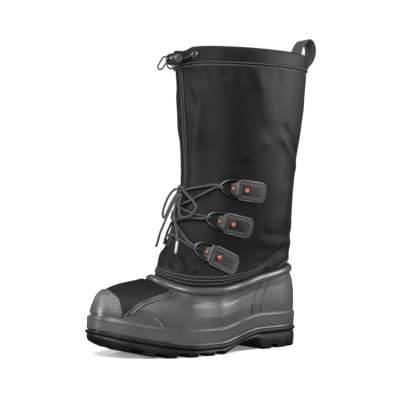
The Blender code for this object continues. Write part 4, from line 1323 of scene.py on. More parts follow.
def turned(
    name: str, centre: Vector, axis: Vector, profile: Sequence[tuple[float, float]],
    steps: int = 28, arm: Optional[Vector] = None, sharp: float = 45.0,
) -> bpy.types.Object:
    """Shape turned about an axis: a grid primitive whose rows are rolled round it.

    Args:
        name: Name of the piece.
        centre: Point on the axis.
        axis: Direction of the axis.
        profile: Pairs of radius and distance along the axis.
        steps: Faces round it.
        arm: Direction in which the turn starts; any where none is given.
        sharp: Angle past which its edges are sharp, in degrees.

    Returns:
        The object.
    """
    arm = arm or axis.orthogonal().normalized()
    last = len(profile) - 1

    def lay(across: float, along: float) -> Vector:
        """Point for shares round the axis and along the profile."""
        radius, rise = profile[round(along * last)]
        return centre + Matrix.Rotation(math.tau * across, 3, axis) @ arm * radius + axis * rise

    item = laid_grid(name, steps, last, lay)
    mend(item)
    smooth(item, sharp)
    return item


# Pieces


class Spot(NamedTuple):
    """Level of the upper and distance off its surface."""

    level: float
    offset: float


Row = Callable[[float], Spot]


def at(level: float, offset: float = 0.0) -> Row:
    """Row at one level and offset, for every turn."""
    return lambda turn: Spot(level, offset)


def trail(spots: Iterable[tuple[float, float]], offset: float) -> Trail:
    """Line of places on the upper, for a row of stitches.

    Args:
        spots: Pairs of level and turn.
        offset: Distance off the surface.

    Returns:
        The points, and the outward direction at each.
    """
    frames = [LAST.frame_at(level, turn) for level, turn in spots]
    return [point + out * offset for point, _, _, out in frames], [frame[3] for frame in frames]


@dataclass(frozen=True)
class RubberShell:
    """Moulded rubber foot: rand, body with heel lines painted dark as grooves, and rolled bead."""

    wall: float = 0.003
    rand_step: float = 0.002
    bead_height: float = 0.010
    bead_bulge: float = 0.0032
    columns: int = 240
    body_rows: int = 46

    RAND = (  # level and share of the step: up the face and over the rounded edge
        (0.0, 1.0), (0.06, 1.0), (0.14, 0.9), (0.2, 0.72), (0.26, 0.9), (0.34, 1.0),
        (0.5, 1.0), (0.66, 1.0), (0.78, 1.0), (0.86, 1.03), (0.90, 1.06), (0.935, 0.98),
        (0.955, 0.8), (0.968, 0.5), (0.976, 0.2), (0.985, 0.04), (1.0, 0.0),
    )
    BEAD = (  # share of the way down the bead and share of its bulge
        (0.990, -0.10), (0.970, 0.22), (0.94, 0.52), (0.88, 0.78), (0.79, 0.95), (0.68, 1.04),
        (0.55, 1.08), (0.42, 1.04), (0.30, 0.94), (0.20, 0.78), (0.11, 0.56), (0.04, 0.26),
    )
    HEEL_LINES = ((110.5, 111.5), (119.5, 118.5))  # turns of their tops and feet
    # Heel lines are raised tubes painted dark: painted shade that stands in for grooves.
    LINE = Rubber("heel_line_finish", (0.010, 0.010, 0.010), (0.018, 0.018, 0.018), 0.34)

    def bead_foot(self, turn: float) -> float:
        """Level of the bead's lower edge."""
        return LAST.below(LAST.shell_level, turn, self.bead_height)

    def body_level(self, share: float, turn: float) -> float:
        """Level at a share of the way from the rand to the bead."""
        return lerp(LAST.rand_level, self.bead_foot(turn), share)

    def on_body(self, share: float, turn: float, offset: float) -> Vector:
        """Point off the body at a share of the way up it."""
        return LAST.off(self.body_level(share, turn), turn, offset)

    def rows(self) -> list[Row]:
        """Rows up the rand and the body, over the bead and down the inside.

        Returns:
            The rows; the last closes on the first.
        """
        def body(share: float, offset: float) -> Row:
            """Row at a share up the body."""
            return lambda turn: Spot(self.body_level(share, turn), offset)

        def bead(drop: float, bulge: float) -> Row:
            """Row at a share of the way down the bead."""
            return lambda turn: Spot(
                lerp(LAST.shell_level, self.bead_foot(turn), drop), self.bead_bulge * bulge
            )

        rows = [at(level, self.rand_step * share) for level, share in self.RAND]
        rows += [body(step / self.body_rows, 0.0) for step in range(1, self.body_rows)]
        rows += [bead(drop, bulge) for drop, bulge in self.BEAD]
        rows += [at(LAST.shell_level, -self.wall * share) for share in (0.0, 0.6, 1.0)]
        rows += [body(share, -self.wall) for share in (1.0, 0.7, 0.5, 0.35, 0.2, 0.1)]
        rows += [at(0.5, -self.wall), at(0.0, -self.wall)]
        return rows + rows[:1]

    def build(self) -> None:
        """Builds the shell and its heel lines."""
        rows = self.rows()
        last = len(rows) - 1

        def lay(across: float, along: float) -> Vector:
            """Point of the surface for shares across and along."""
            turn, index = math.tau * across, round(along * last)
            spot = rows[index](turn)
            point = LAST.off(spot.level, turn, spot.offset)
            if index in (0, last, last - 1):
                point.z = LAST.lip_height(point.y) + 0.0004
            return point

        item = laid_grid("shell_form", self.columns, last, lay)
        mend(item)
        smooth(item, 60.0)
        dress(item, Slot.RUBBER, Slot.RUBBER, ["rubber_shell"])
        for side in Side:
            strands = []
            for top_turn, foot_turn in self.HEEL_LINES:
                path = []
                for step in range(40):
                    share = step / 39.0
                    turn = side.value * math.radians(lerp(foot_turn, top_turn, share))
                    path.append(self.on_body(0.02 + 0.97 * share, turn, -0.0002))
                strands.append(tube("heel_line", path, 0.00085, 8))
            dress(joined(f"heel_lines_{side.word}", strands), self.LINE, Slot.RUBBER)


class Fold(NamedTuple):
    """A soft trough or ridge of the cloth, through points given by height and turn."""

    points: Sequence[tuple[float, float]]
    width: float
    depth: float


@dataclass
class Shaft:
    """Woven shaft with its cuff, gathered in front, and the folds of soft cloth."""

    wall: float = 0.002
    shell_wall: float = 0.003
    tuck: float = 0.012
    tuck_gap: float = 0.0006
    cuff_height: float = 0.022
    cuff_bulge: float = 0.0016
    columns: int = 216
    body_rows: int = 130

    FOLDS = (
        Fold(((0.352, 6), (0.330, 12), (0.305, 19)), 0.0050, -0.0020),
        Fold(((0.350, 21), (0.322, 28), (0.296, 24), (0.250, 14)), 0.0085, 0.0022),
        Fold(((0.367, 80), (0.322, 86), (0.284, 90)), 0.0100, 0.0014),
        Fold(((0.298, 104), (0.274, 120), (0.246, 150)), 0.0050, -0.0024),
        Fold(((0.284, 100), (0.257, 122), (0.230, 152)), 0.0055, 0.0022),
        Fold(((0.240, 66), (0.262, 78), (0.276, 92)), 0.0070, 0.0016),
        Fold(((0.222, 120), (0.189, 123), (0.157, 126)), 0.0080, 0.0018),
        Fold(((0.230, 142), (0.190, 142), (0.160, 146)), 0.0060, -0.0018),
        Fold(((0.107, 100), (0.119, 114), (0.136, 136)), 0.0040, -0.0022),
        Fold(((0.099, 106), (0.113, 124), (0.126, 145)), 0.0042, 0.0016),
        Fold(((0.134, 12), (0.116, 28), (0.102, 36)), 0.0042, 0.0026),
        Fold(((0.128, 7), (0.108, 24)), 0.0034, -0.0022),
        Fold(((0.120, 35), (0.102, 47)), 0.0042, 0.0020),
        Fold(((0.126, 27), (0.105, 41)), 0.0034, -0.0020),
        Fold(((0.366, 31), (0.340, 33)), 0.0038, -0.0010),
        Fold(((0.366, 50), (0.345, 50)), 0.0042, -0.0008),
        Fold(((0.366, 68), (0.338, 69)), 0.0040, -0.0011),
        Fold(((0.366, 76), (0.330, 80)), 0.0040, 0.0010),
        Fold(((0.366, 96), (0.340, 98)), 0.0044, -0.0008),
        Fold(((0.156, 96), (0.170, 108), (0.180, 122)), 0.0080, 0.0008),
        Fold(((0.268, 34), (0.248, 50), (0.233, 66)), 0.0080, -0.0006),
        Fold(((0.140, 92), (0.132, 104), (0.130, 118)), 0.0070, -0.0008),
        Fold(((0.352, -7), (0.325, -14), (0.300, -22)), 0.0055, -0.0018),
        Fold(((0.345, -26), (0.310, -30), (0.270, -22)), 0.0090, 0.0018),
        Fold(((0.366, -44), (0.330, -50)), 0.0045, -0.0011),
        Fold(((0.366, -78), (0.320, -84), (0.285, -92)), 0.0100, 0.0014),
        Fold(((0.290, -62), (0.262, -74), (0.245, -92)), 0.0075, -0.0014),
        Fold(((0.300, -108), (0.270, -122), (0.245, -146)), 0.0052, -0.0022),
        Fold(((0.286, -102), (0.256, -122), (0.230, -150)), 0.0058, 0.0020),
        Fold(((0.220, -112), (0.185, -120), (0.150, -118)), 0.0080, 0.0016),
        Fold(((0.105, -100), (0.118, -116), (0.134, -138)), 0.0042, -0.0020),
        Fold(((0.134, -12), (0.116, -27), (0.102, -36)), 0.0042, 0.0024),
        Fold(((0.126, -6), (0.107, -20)), 0.0034, -0.0020),
        Fold(((0.124, -30), (0.104, -44)), 0.0036, -0.0018),
        Fold(((0.160, -92), (0.172, -106), (0.176, -122)), 0.0070, 0.0012),
        Fold(((0.340, 158), (0.300, 166), (0.262, 176)), 0.0090, 0.0016),
        Fold(((0.280, -168), (0.240, -176), (0.200, 178)), 0.0085, -0.0014),
        Fold(((0.170, 162), (0.150, 178), (0.146, -166)), 0.0055, -0.0011),
        Fold(((0.158, 164), (0.138, 180), (0.134, -164)), 0.0060, 0.0010),
    )
    TAPER = 0.5  # share of a half fold over which it fades out
    DEGREE = 0.00105  # metres of cloth in a degree of turn
    FLAT = ((0.209, 62.0, 40.0), (0.183, 56.0, 40.0), (0.148, 54.0, 40.0))
    CUFF = (  # share of the way up the cuff and share of its bulge
        (0.02, 0.35), (0.05, 0.70), (0.09, 0.90), (0.16, 1.0), (0.26, 1.0), (0.38, 1.0),
        (0.50, 1.0), (0.62, 1.0), (0.74, 1.0), (0.84, 0.98), (0.91, 0.88), (0.96, 0.66),
        (0.985, 0.40), (1.0, 0.08),
    )

    def calm(self, height: float, degrees: float) -> float:
        """Share of the folds that is left: none under the tabs, the rings and the seam.

        Args:
            height: Height over the floor.
            degrees: Turn from the toe.

        Returns:
            Share from 0 to 1.
        """
        share = ease((abs(degrees) - 4.5) / 5.0)
        for middle, turn, half in self.FLAT:
            aside = max(0.0, abs(abs(degrees) - turn) - half) * self.DEGREE
            drop = max(0.0, abs(height - middle + (abs(degrees) - turn) * 0.00012) - 0.014)
            share *= ease(math.hypot(aside, drop) / 0.008)
        return share

    def cuff_foot(self, turn: float) -> float:
        """Level of the seam under the cuff."""
        return LAST.below(LAST.collar_level, turn, self.cuff_height)

    def inset(self, level: float) -> float:
        """Offset of the shaft's face: inside the shell at first, then on the surface."""
        inside = self.shell_wall + self.tuck_gap
        return -inside * (1.0 - ease((level - LAST.shell_level) / 0.75))

    def relief(self, point: Vector, turn: float) -> float:
        """Depth of the folds at a point: the sum of soft troughs and ridges.

        Args:
            point: Point of the plain surface.
            turn: Its turn from the toe, in radians.

        Returns:
            Distance outwards.
        """
        degrees = math.degrees(math.remainder(turn, math.tau))
        total = 0.0
        for fold in self.FOLDS:
            best, share_at = 1.0, 0.0
            count = len(fold.points) - 1
            for index, (here, there) in enumerate(zip(fold.points, fold.points[1:])):
                run, rise = (there[1] - here[1]) * self.DEGREE, there[0] - here[0]
                aside = math.remainder(degrees - here[1], 360.0) * self.DEGREE
                above = point.z - here[0]
                share = min(max((aside * run + above * rise) / (run**2 + rise**2), 0.0), 1.0)
                gap = math.hypot(aside - run * share, above - rise * share)
                if gap < best:
                    best, share_at = gap, (index + share) / count
            if best < fold.width * 2.5:
                fade = ease(min(share_at, 1.0 - share_at) * 2.0 / self.TAPER)
                total += fold.depth * fade * math.exp(-((best / fold.width) ** 2))
        return total * self.calm(point.z, degrees) if total else 0.0

    def gather(self, turn: float, share: float) -> float:
        """Small upright wrinkles that the drawcord pulls into the cuff's front.

        Args:
            turn: Turn from the toe, in radians.
            share: Share of the way up the cuff.

        Returns:
            Distance outwards.
        """
        degrees = math.degrees(math.remainder(turn, math.tau))
        near = math.exp(-((degrees / 34.0) ** 2))
        wave = math.sin(math.radians(degrees * 26.0))
        wave += 0.5 * math.sin(math.radians(degrees * 41.0 + 60.0))
        far = 0.18 * math.sin(math.radians(degrees * 17.0)) * (1.0 - near)
        return 0.00055 * (wave * near + far) * (0.45 + 0.55 * share)

    def rows(self) -> list[Row]:
        """Rows from the tucked edge up to the rim and over it.

        Returns:
            The rows.
        """
        inside = -(self.shell_wall + self.tuck_gap)

        def body(share: float) -> Row:
            """Row at a share of the way up to the cuff."""
            def row(turn: float) -> Spot:
                """Place of the cloth at a turn."""
                level = lerp(LAST.shell_level, self.cuff_foot(turn), share**0.92)
                return Spot(level, self.inset(level))
            return row

        def cuff(share: float, bulge: float) -> Row:
            """Row at a share of the way up the cuff."""
            return lambda turn: Spot(
                lerp(self.cuff_foot(turn), LAST.collar_level, share), self.cuff_bulge * bulge
            )

        rows: list[Row] = [
            lambda turn: Spot(LAST.below(LAST.shell_level, turn, self.tuck), inside),
            at(LAST.shell_level, inside),
        ]
        rows += [body(step / self.body_rows) for step in range(1, self.body_rows + 1)]
        return rows + [cuff(share, bulge) for share, bulge in self.CUFF]

    def build(self) -> None:
        """Builds the shaft."""
        rows = self.rows()
        last = len(rows) - 1
        cuff_start = self.body_rows + 1

        def lay(across: float, along: float) -> Vector:
            """Point of the surface for shares across and along."""
            turn, index = math.tau * across, round(along * last)
            spot = rows[index](turn)
            offset = spot.offset
            if index > cuff_start:
                offset += self.gather(turn, (index - cuff_start) / (last - cuff_start))
            elif index > 1:
                above = ease((spot.level - LAST.shell_level - 0.25) / 0.5)
                offset += self.relief(LAST.skin(spot.level, turn), turn) * above
                near = max(0.0, 1.0 - (cuff_start - index) / 8.0)
                offset += self.gather(turn, 0.0) * near - 0.0009 * max(0.0, near - 0.75) * 4.0
            return LAST.off(spot.level, turn, offset)

        item = laid_grid("shaft_cloth", self.columns, last, lay)
        with editing(item):
            bpy.ops.mesh.remove_doubles(threshold=1.0e-6)
        change(item, "SOLIDIFY", thickness=self.wall, offset=-1.0)
        smooth(item, 70.0)
        dress(item, Slot.NYLON, Slot.NYLON, ["shaft"])


@dataclass
class Outsole:
    """Lugged outsole: side wall with its lip, filled underside and top, and cut grooves."""

    taper: float = 0.0024
    lip: float = 0.0052
    lug_depth: float = 0.0055
    groove_width: float = 0.0180
    groove_reach: float = 0.0300
    centre_width: float = 0.0080
    centre_half: float = 0.0190
    arch_rise: float = 0.0140
    heel_bevel: float = 0.0030
    outline_power: float = 0.68
    columns: int = 320

    SPRING_END = 0.27
    ARCH_START = 0.515
    BREAST_TOP = 0.713
    BREAST_FOOT = 0.755
    BEVEL_START = 0.968
    SIDE_GROOVES = (0.135, 0.222, 0.309, 0.396, 0.483)
    CENTRE_GROOVES = (0.178, 0.2655, 0.3525, 0.4395)
    HEEL_GROOVES = ((0.822, 0.016), (0.915, 0.007))

    def tread_height(self, y: float) -> float:
        """Height of the underside before its grooves.

        Args:
            y: Place along the foot.

        Returns:
            Height over the floor.
        """
        station = min(max(y / LAST.length + 0.5, 0.0), 1.0)
        if station < self.SPRING_END:
            return LAST.toe_spring * ((self.SPRING_END - station) / self.SPRING_END) ** 1.8
        if station < self.ARCH_START:
            return 0.0
        if station < self.BREAST_TOP:
            left = 1.0 - (station - self.ARCH_START) / (self.BREAST_TOP - self.ARCH_START)
            return self.arch_rise * (1.0 - left * left)
        if station < self.BREAST_FOOT:
            span = self.BREAST_FOOT - self.BREAST_TOP
            return self.arch_rise * (self.BREAST_FOOT - station) / span
        share = (station - self.BEVEL_START) / (1.0 - self.BEVEL_START)
        return self.heel_bevel * max(0.0, share)

    def wall_point(self, turn: float, inset: float, height: Callable[[float], float]) -> Vector:
        """Point of the side wall.

        Args:
            turn: Turn from the toe, in radians.
            inset: Distance inside the outline.
            height: Height for a place along the foot.

        Returns:
            The point.
        """
        y = -(LAST.length / 2.0 - inset) * math.cos(turn)
        shift, half = LAST.outline_at(y)
        sine = math.sin(turn)
        bulge = math.copysign(abs(sine) ** self.outline_power, sine)
        return Vector((shift + (half - inset) * bulge, y, height(y)))

    def profile(self) -> list[tuple[float, Callable[[float], float]]]:
        """Inset and height of each row of the side wall, from the tread to the seat.

        Returns:
            The rows.
        """
        def rising(share: float) -> Callable[[float], float]:
            """Height at a share of the way up to the lip."""
            def height(y: float) -> float:
                """Height at a place along the foot."""
                low = self.tread_height(y)
                return low + (LAST.lip_height(y) - self.lip - low) * share
            return height

        def under(drop: float) -> Callable[[float], float]:
            """Height at a distance under the lip's top."""
            return lambda y: LAST.lip_height(y) - drop

        taper, lip = self.taper, self.lip
        rows = [(taper + 0.0006, rising(0.0)), (taper, rising(0.05))]
        rows += [(taper * (1.0 - 0.5 * share / 0.6), rising(share)) for share in (0.2, 0.4, 0.6)]
        rows += [(taper * 0.72, rising(0.76)), (taper * 0.95, rising(0.88)), (taper, rising(0.95))]
        rows += [
            (taper * 0.8, under(lip * 0.97)), (taper * 0.3, under(lip * 0.88)),
            (taper * 0.08, under(lip * 0.74)), (0.0, under(lip * 0.58)), (0.0, under(lip * 0.42)),
            (taper * 0.10, under(lip * 0.27)), (taper * 0.32, under(lip * 0.14)),
            (taper * 0.65, under(lip * 0.05)), (taper * 1.05, under(lip * 0.01)),
        ]
        rows.append((LAST.ledge - 0.002, under(0.0)))
        return rows

    def build(self) -> None:
        """Builds the outsole."""
        rows = self.profile()
        last = len(rows) - 1

        def lay(across: float, along: float) -> Vector:
            """Point of the surface for shares across and along."""
            inset, height = rows[round(along * last)]
            return self.wall_point(math.tau * across, inset, height)

        item = laid_grid("sole_form", self.columns, last, lay)
        mend(item)
        for top in (False, True):
            self.fill(item, top)
        mend(item)
        self.cut(item)
        smooth(item, 32.0)
        dress(item, Slot.TREAD, Slot.TREAD, ["outsole"])

    def fill(self, item: bpy.types.Object, top: bool) -> None:
        """Fills the underside or the top with a grid that keeps its height along the foot.

        Args:
            item: The outsole so far.
            top: Whether the top is filled.
        """
        focus(item)
        bpy.ops.object.mode_set(mode="EDIT")
        bpy.ops.mesh.select_mode(type="EDGE")
        bpy.ops.mesh.select_all(action="DESELECT")
        shape = bmesh.from_edit_mesh(item.data)
        old = len(shape.verts)
        for edge in shape.edges:
            if edge.is_boundary:
                middle = (edge.verts[0].co + edge.verts[1].co) / 2.0
                is_top = abs(middle.z - LAST.lip_height(middle.y)) < 0.0015
                edge.select_set(is_top == top)
        bmesh.update_edit_mesh(item.data)
        bpy.ops.mesh.fill_grid(span=self.columns // 4)
        shape = bmesh.from_edit_mesh(item.data)
        shape.verts.ensure_lookup_table()
        height = LAST.lip_height if top else self.tread_height
        for vert in shape.verts[old:]:
            vert.co.z = height(vert.co.y)
        bmesh.update_edit_mesh(item.data)
        bpy.ops.mesh.select_mode(type="VERT")
        bpy.ops.object.mode_set(mode="OBJECT")

    def cutter(self, station: float, near: float, far: float, width: float) -> bpy.types.Object:
        """Bar that cuts one groove: it narrows upwards and follows the tread's slope.

        Args:
            station: Place along the foot, as a share of its length.
            near: Lower X of the bar.
            far: Higher X of the bar.
            width: Width of the groove at the tread.

        Returns:
            The bar.
        """
        y = (station - 0.5) * LAST.length
        under, narrow, step = 0.004, 0.72, 0.002  # depth below the tread, width at the top, probe
        slope = math.atan2(self.tread_height(y + step) - self.tread_height(y - step), 2.0 * step)
        deselect()
        bpy.ops.mesh.primitive_cube_add(size=1.0)
        bar = bpy.context.object
        place = Matrix.Translation((0.0, y, self.tread_height(y))) @ Matrix.Rotation(slope, 4, "X")
        for vert in bar.data.vertices:
            share = 1.0 if vert.co.z < 0.0 else narrow
            x = far if vert.co.x > 0.0 else near
            z = self.lug_depth if vert.co.z > 0.0 else -under
            vert.co = place @ Vector((x, vert.co.y * width * share, z))
        change(
            bar, "BEVEL", width=0.0009, segments=2, limit_method="ANGLE",
            angle_limit=math.radians(40.0),
        )
        return bar

    def cut(self, item: bpy.types.Object) -> None:
        """Cuts the grooves between the lugs.

        Args:
            item: The outsole.
        """
        edge = LAST.ball_width / 2.0 - self.groove_reach
        reach = LAST.ball_width
        bars = []
        for station in self.SIDE_GROOVES:
            bars.append(self.cutter(station, edge, reach, self.groove_width))
            bars.append(self.cutter(station, -reach, -edge, self.groove_width))
        for station in self.CENTRE_GROOVES:
            half = self.centre_half
            bars.append(self.cutter(station, -half, half, self.centre_width))
        for station, width in self.HEEL_GROOVES:
            edge_here = edge - self.centre_width
            bars.append(self.cutter(station, edge_here, reach, width))
            bars.append(self.cutter(station, -reach, -edge_here, width))
        cutter = joined("groove_bars", bars)
        change(item, "BOOLEAN", operation="DIFFERENCE", object=cutter, solver="EXACT")
        bpy.data.objects.remove(cutter)


@dataclass
class ToeCap:
    """Overlays of the toe: the hatched cap, the bumper and its two wings."""

    shell: RubberShell
    gap: float = 0.0003
    rise: float = 0.0012
    cap_foot: float = 0.028
    columns: int = 96
    rows: int = 56

    CAP_EDGE = (
        (-0.60, -0.400), (-0.32, -0.404), (-0.12, -0.417), (0.06, -0.424),
        (0.18, -0.414), (0.28, -0.402), (0.60, -0.400),
    )
    BUMPER_EDGE = (
        (-0.230, 0.150), (-0.243, 0.215), (-0.255, 0.315), (-0.268, 0.380),
        (-0.300, 0.480), (-0.322, 0.525), (-0.340, 0.545),
    )
    WING_FRONT = -0.352

    def build(self) -> None:
        """Builds the cap, the bumper and the wings."""
        self.build_cap()
        self.build_bumper()
        for side in Side:
            self.build_wing(side)

    def cap_edge_at(self, x: float) -> float:
        """Place along the foot of the cap's rear edge.

        Args:
            x: Place to the side.

        Returns:
            The place along the foot.
        """
        share = x / LAST.ball_width
        points = self.CAP_EDGE
        for here, there in zip(points, points[1:]):
            if share <= there[0]:
                part = (share - here[0]) / (there[0] - here[0])
                return LAST.length * lerp(here[1], there[1], ease(max(part, 0.0)))
        return LAST.length * points[-1][1]

    def share_at_edge(self, turn: float) -> float:
        """Share up the body at which the cap's rear edge is met at a turn.

        Args:
            turn: Turn from the toe, in radians.

        Returns:
            The share.
        """
        def before(share: float) -> bool:
            """Whether a share up the body lies before the edge."""
            point = self.shell.on_body(share, turn, 0.0)
            return point.y < self.cap_edge_at(point.x)

        return halved(0.0, 0.62, before)

    def cap_reach(self, side: Side) -> float:
        """Turn at which the cap's rear edge comes down to its lower edge.

        Args:
            side: Side of the boot.

        Returns:
            The turn, in radians.
        """
        def before(turn: float) -> bool:
            """Whether the edge still lies over the cap's lower edge."""
            return self.share_at_edge(side.value * turn) > self.cap_foot + 0.006

        return side.value * halved(math.radians(5.0), math.radians(62.0), before, 16)

    def build_cap(self) -> None:
        """Hatched cap: it lies on the shell's front and has a soft raised border behind."""
        near, far = self.cap_reach(Side.INNER), self.cap_reach(Side.OUTER)
        top = cache(self.share_at_edge)

        def lay(across: float, along: float) -> Vector:
            """Point of the surface for shares across and along."""
            turn = lerp(near, far, across)
            rim = 0.0005 * math.exp(-(((along - 0.05) / 0.04) ** 2))
            border = 0.55 + 0.45 * ease(along / 0.06)
            offset = self.gap + self.rise * border + rim
            return self.shell.on_body(lerp(top(turn), self.cap_foot, along), turn, offset)

        item = laid_pad("toe_cap_form", self.columns, self.rows, lay, 0.0011, flip=True)
        dress(item, HatchedRubber(), Slot.RUBBER, ["toe_cap"])

    def rear_at(self, height: float) -> float:
        """Place along the foot of the bumper's slanting rear edge at a height.

        Args:
            height: Height over the floor.

        Returns:
            The place.
        """
        points = [(y * LAST.length, z * LAST.shell_height) for y, z in self.BUMPER_EDGE]
        for here, there in zip(points, points[1:]):
            if here[1] <= height <= there[1]:
                return lerp(here[0], there[0], (height - here[1]) / (there[1] - here[1]))
        return points[-1][0] if height > points[-1][1] else points[0][0]

    def bumper_end(self, level: float, side: Side) -> float:
        """Turn at which the bumper's rear edge is met at a level.

        Args:
            level: Level on the rand.
            side: Side of the boot.

        Returns:
            The turn, in radians.
        """
        def before(turn: float) -> bool:
            """Whether a turn lies before the edge."""
            point = LAST.off(level, side.value * turn, self.shell.rand_step)
            return point.y < self.rear_at(point.z)

        return halved(0.0, math.radians(80.0), before, 20)

    def build_bumper(self) -> None:
        """Bumper round the toe, on the rand."""
        end = cache(self.bumper_end)

        def lay(across: float, along: float) -> Vector:
            """Point of the surface for shares across and along."""
            level = lerp(0.12, 0.90, along)
            turn = lerp(-end(level, Side.INNER), end(level, Side.OUTER), across)
            border = min(along, 1.0 - along) / 0.12
            offset = self.shell.rand_step + self.gap + self.rise * (0.35 + 0.65 * ease(border))
            offset += 0.0005 * math.exp(-(((along - 0.86) / 0.07) ** 2))
            return LAST.off(level, turn, offset)

        item = laid_pad("toe_bumper_form", 150, 22, lay, 0.0015)
        dress(item, Slot.RUBBER, Slot.RUBBER, ["toe_bumper"])

    def build_wing(self, side: Side) -> None:
        """Wing of the bumper on the shell's side, behind the ribbed seam.

        Args:
            side: Side of the boot.
        """
        @cache
        def ends(share: float) -> tuple[float, float]:
            """Turns of the wing's front and rear at a share up the body."""
            def ahead(turn: float, limit: Callable[[float], float]) -> bool:
                """Whether a turn lies before a limit."""
                point = self.shell.on_body(share, side.value * turn, 0.0)
                return point.y < limit(point.z)

            low, high = math.radians(15.0), math.radians(85.0)
            front = halved(
                low, high, lambda turn: ahead(turn, lambda z: self.WING_FRONT * LAST.length), 16
            )
            return front, halved(low, high, lambda turn: ahead(turn, self.rear_at), 16)

        def lay(across: float, along: float) -> Vector:
            """Point of the surface for shares across and along."""
            share = lerp(-0.055, 0.265, along)
            start, end = ends(share)
            turn = side.value * lerp(start, max(end, start + 0.004), across)
            rim = math.exp(-(((across - 0.94) / 0.06) ** 2))
            border = 0.45 + 0.55 * ease((1.0 - across) / 0.06)
            full = self.gap + self.rise * border + 0.0004 * rim
            offset = lerp(-0.0004, full, ease(across / 0.55))
            return self.shell.on_body(share, turn, offset)

        item = laid_pad(f"toe_wing_{side.word}_form", 26, 20, lay, 0.0007, side is Side.INNER)
        dress(item, Slot.RUBBER, Slot.RUBBER, [f"toe_wing_{side.word}"])


@dataclass
class VampSeam:
    """Ribbed seam from the throat down to the rand, with a serrated raised band."""

    shell: RubberShell
    side: Side
    width: float = 0.0100
    rise: float = 0.0020
    base: float = 0.00045
    tooth: float = 0.0034

    WAYS = {
        Side.OUTER: (
            (0.965, 30.5), (0.72, 36.5), (0.57, 39.0), (0.38, 40.0), (0.20, 37.5), (0.075, 34.5),
        ),
        Side.INNER: ((0.965, 16.0), (0.72, 19.0), (0.57, 21.0), (0.42, 24.0)),
    }
    # The teeth are painted light grey: a painted highlight along the ribs of the seam.
    TEETH = Rubber("tooth_rubber_finish", (0.080, 0.080, 0.081), (0.190, 0.190, 0.191), 0.40)
    FINISH = Rubber("seam_rubber_finish", (0.016, 0.016, 0.017), (0.060, 0.060, 0.061), 0.36)

    def build(self) -> None:
        """Builds the seam."""
        ways = smooth_path([(share, turn, 0.0) for share, turn in self.WAYS[self.side]], 0.35)
        dense = smooth_path([(way.x * 60.0, way.y, 0.0) for way in ways], 0.16)
        spots = [(way.x / 60.0, self.side.value * math.radians(way.y)) for way in dense]
        rows = len(spots) - 1
        length = path_length([self.shell.on_body(share, turn, 0.0) for share, turn in spots])
        teeth = round(length / self.tooth)

        def lay(across: float, along: float) -> Vector:
            """Point of the surface for shares across and along."""
            share, turn = spots[round(along * rows)]
            here = self.shell.on_body(share, turn, 0.0)
            beside = self.shell.on_body(share, turn + 0.02, 0.0)
            step = (across - 0.5) * self.width / (beside - here).length * 0.02
            edge = abs(across - 0.5) * 2.0
            body = math.sqrt(max(1.0 - edge**4.0, 0.0))
            slant = (across - 0.5) * self.width / self.tooth * 0.9
            wave = 0.5 + 0.5 * math.cos(math.tau * (along * teeth + slant))
            end = ease(min(along, 1.0 - along) * length / 0.004)
            row = math.exp(-(((edge - 0.58) / 0.26) ** 2))
            height = (0.35 + 0.65 * end) * body * (0.34 + row * (0.28 + 0.38 * wave))
            return self.shell.on_body(share, turn + step, self.base + self.rise * max(height, 0.05))

        item = laid_pad(
            f"vamp_seam_{self.side.word}", 20, rows, lay, 0.0004, self.side is Side.OUTER
        )
        dress(item, self.FINISH, Slot.RUBBER, [f"vamp_ridge_{self.side.word}"])
        outs = [
            LAST.frame_at(self.shell.body_level(share, turn), turn)[3]
            for share, turn in spots[2:rows - 1]
        ]
        marks = [
            ([lay(across, row / rows) for row in range(2, rows - 1)], outs)
            for across in (0.20, 0.80)
        ]
        item = Stitches(0.0024, 0.0014, 0.0013, 0.0002).run(marks, f"vamp_teeth_{self.side.word}")
        dress(item, self.TEETH, Slot.RUBBER)

    def turn_at(self, share: float) -> float:
        """Turn of the seam's middle at a share of the way up the body.

        Args:
            share: Share of the way from the rand to the bead.

        Returns:
            The turn, in radians.
        """
        ways = self.WAYS[self.side]
        for high, low in zip(ways, ways[1:]):
            if share >= low[0]:
                part = min((share - low[0]) / (high[0] - low[0]), 1.0)
                return self.side.value * math.radians(lerp(low[1], high[1], part))
        return self.side.value * math.radians(ways[-1][1])


@dataclass
class VampPanel:
    """Matt panel between the two ribbed seams."""

    shell: RubberShell
    rise: float = 0.0004
    columns: int = 48
    rows: int = 60

    FINISH = Rubber(
        "vamp_panel_finish", (0.005, 0.005, 0.005), (0.013, 0.013, 0.013), 0.62, gloss=0.18
    )

    def build(self) -> None:
        """Builds the panel."""
        outer, inner = VampSeam(self.shell, Side.OUTER), VampSeam(self.shell, Side.INNER)

        def lay(across: float, along: float) -> Vector:
            """Point of the surface for shares across and along."""
            share = lerp(0.07, 0.975, along)
            turn = lerp(inner.turn_at(share), outer.turn_at(share), across)
            return self.shell.on_body(share, turn, self.rise)

        item = laid_pad("vamp_panel_form", self.columns, self.rows, lay, 0.0005)
        dress(item, self.FINISH, Slot.RUBBER)


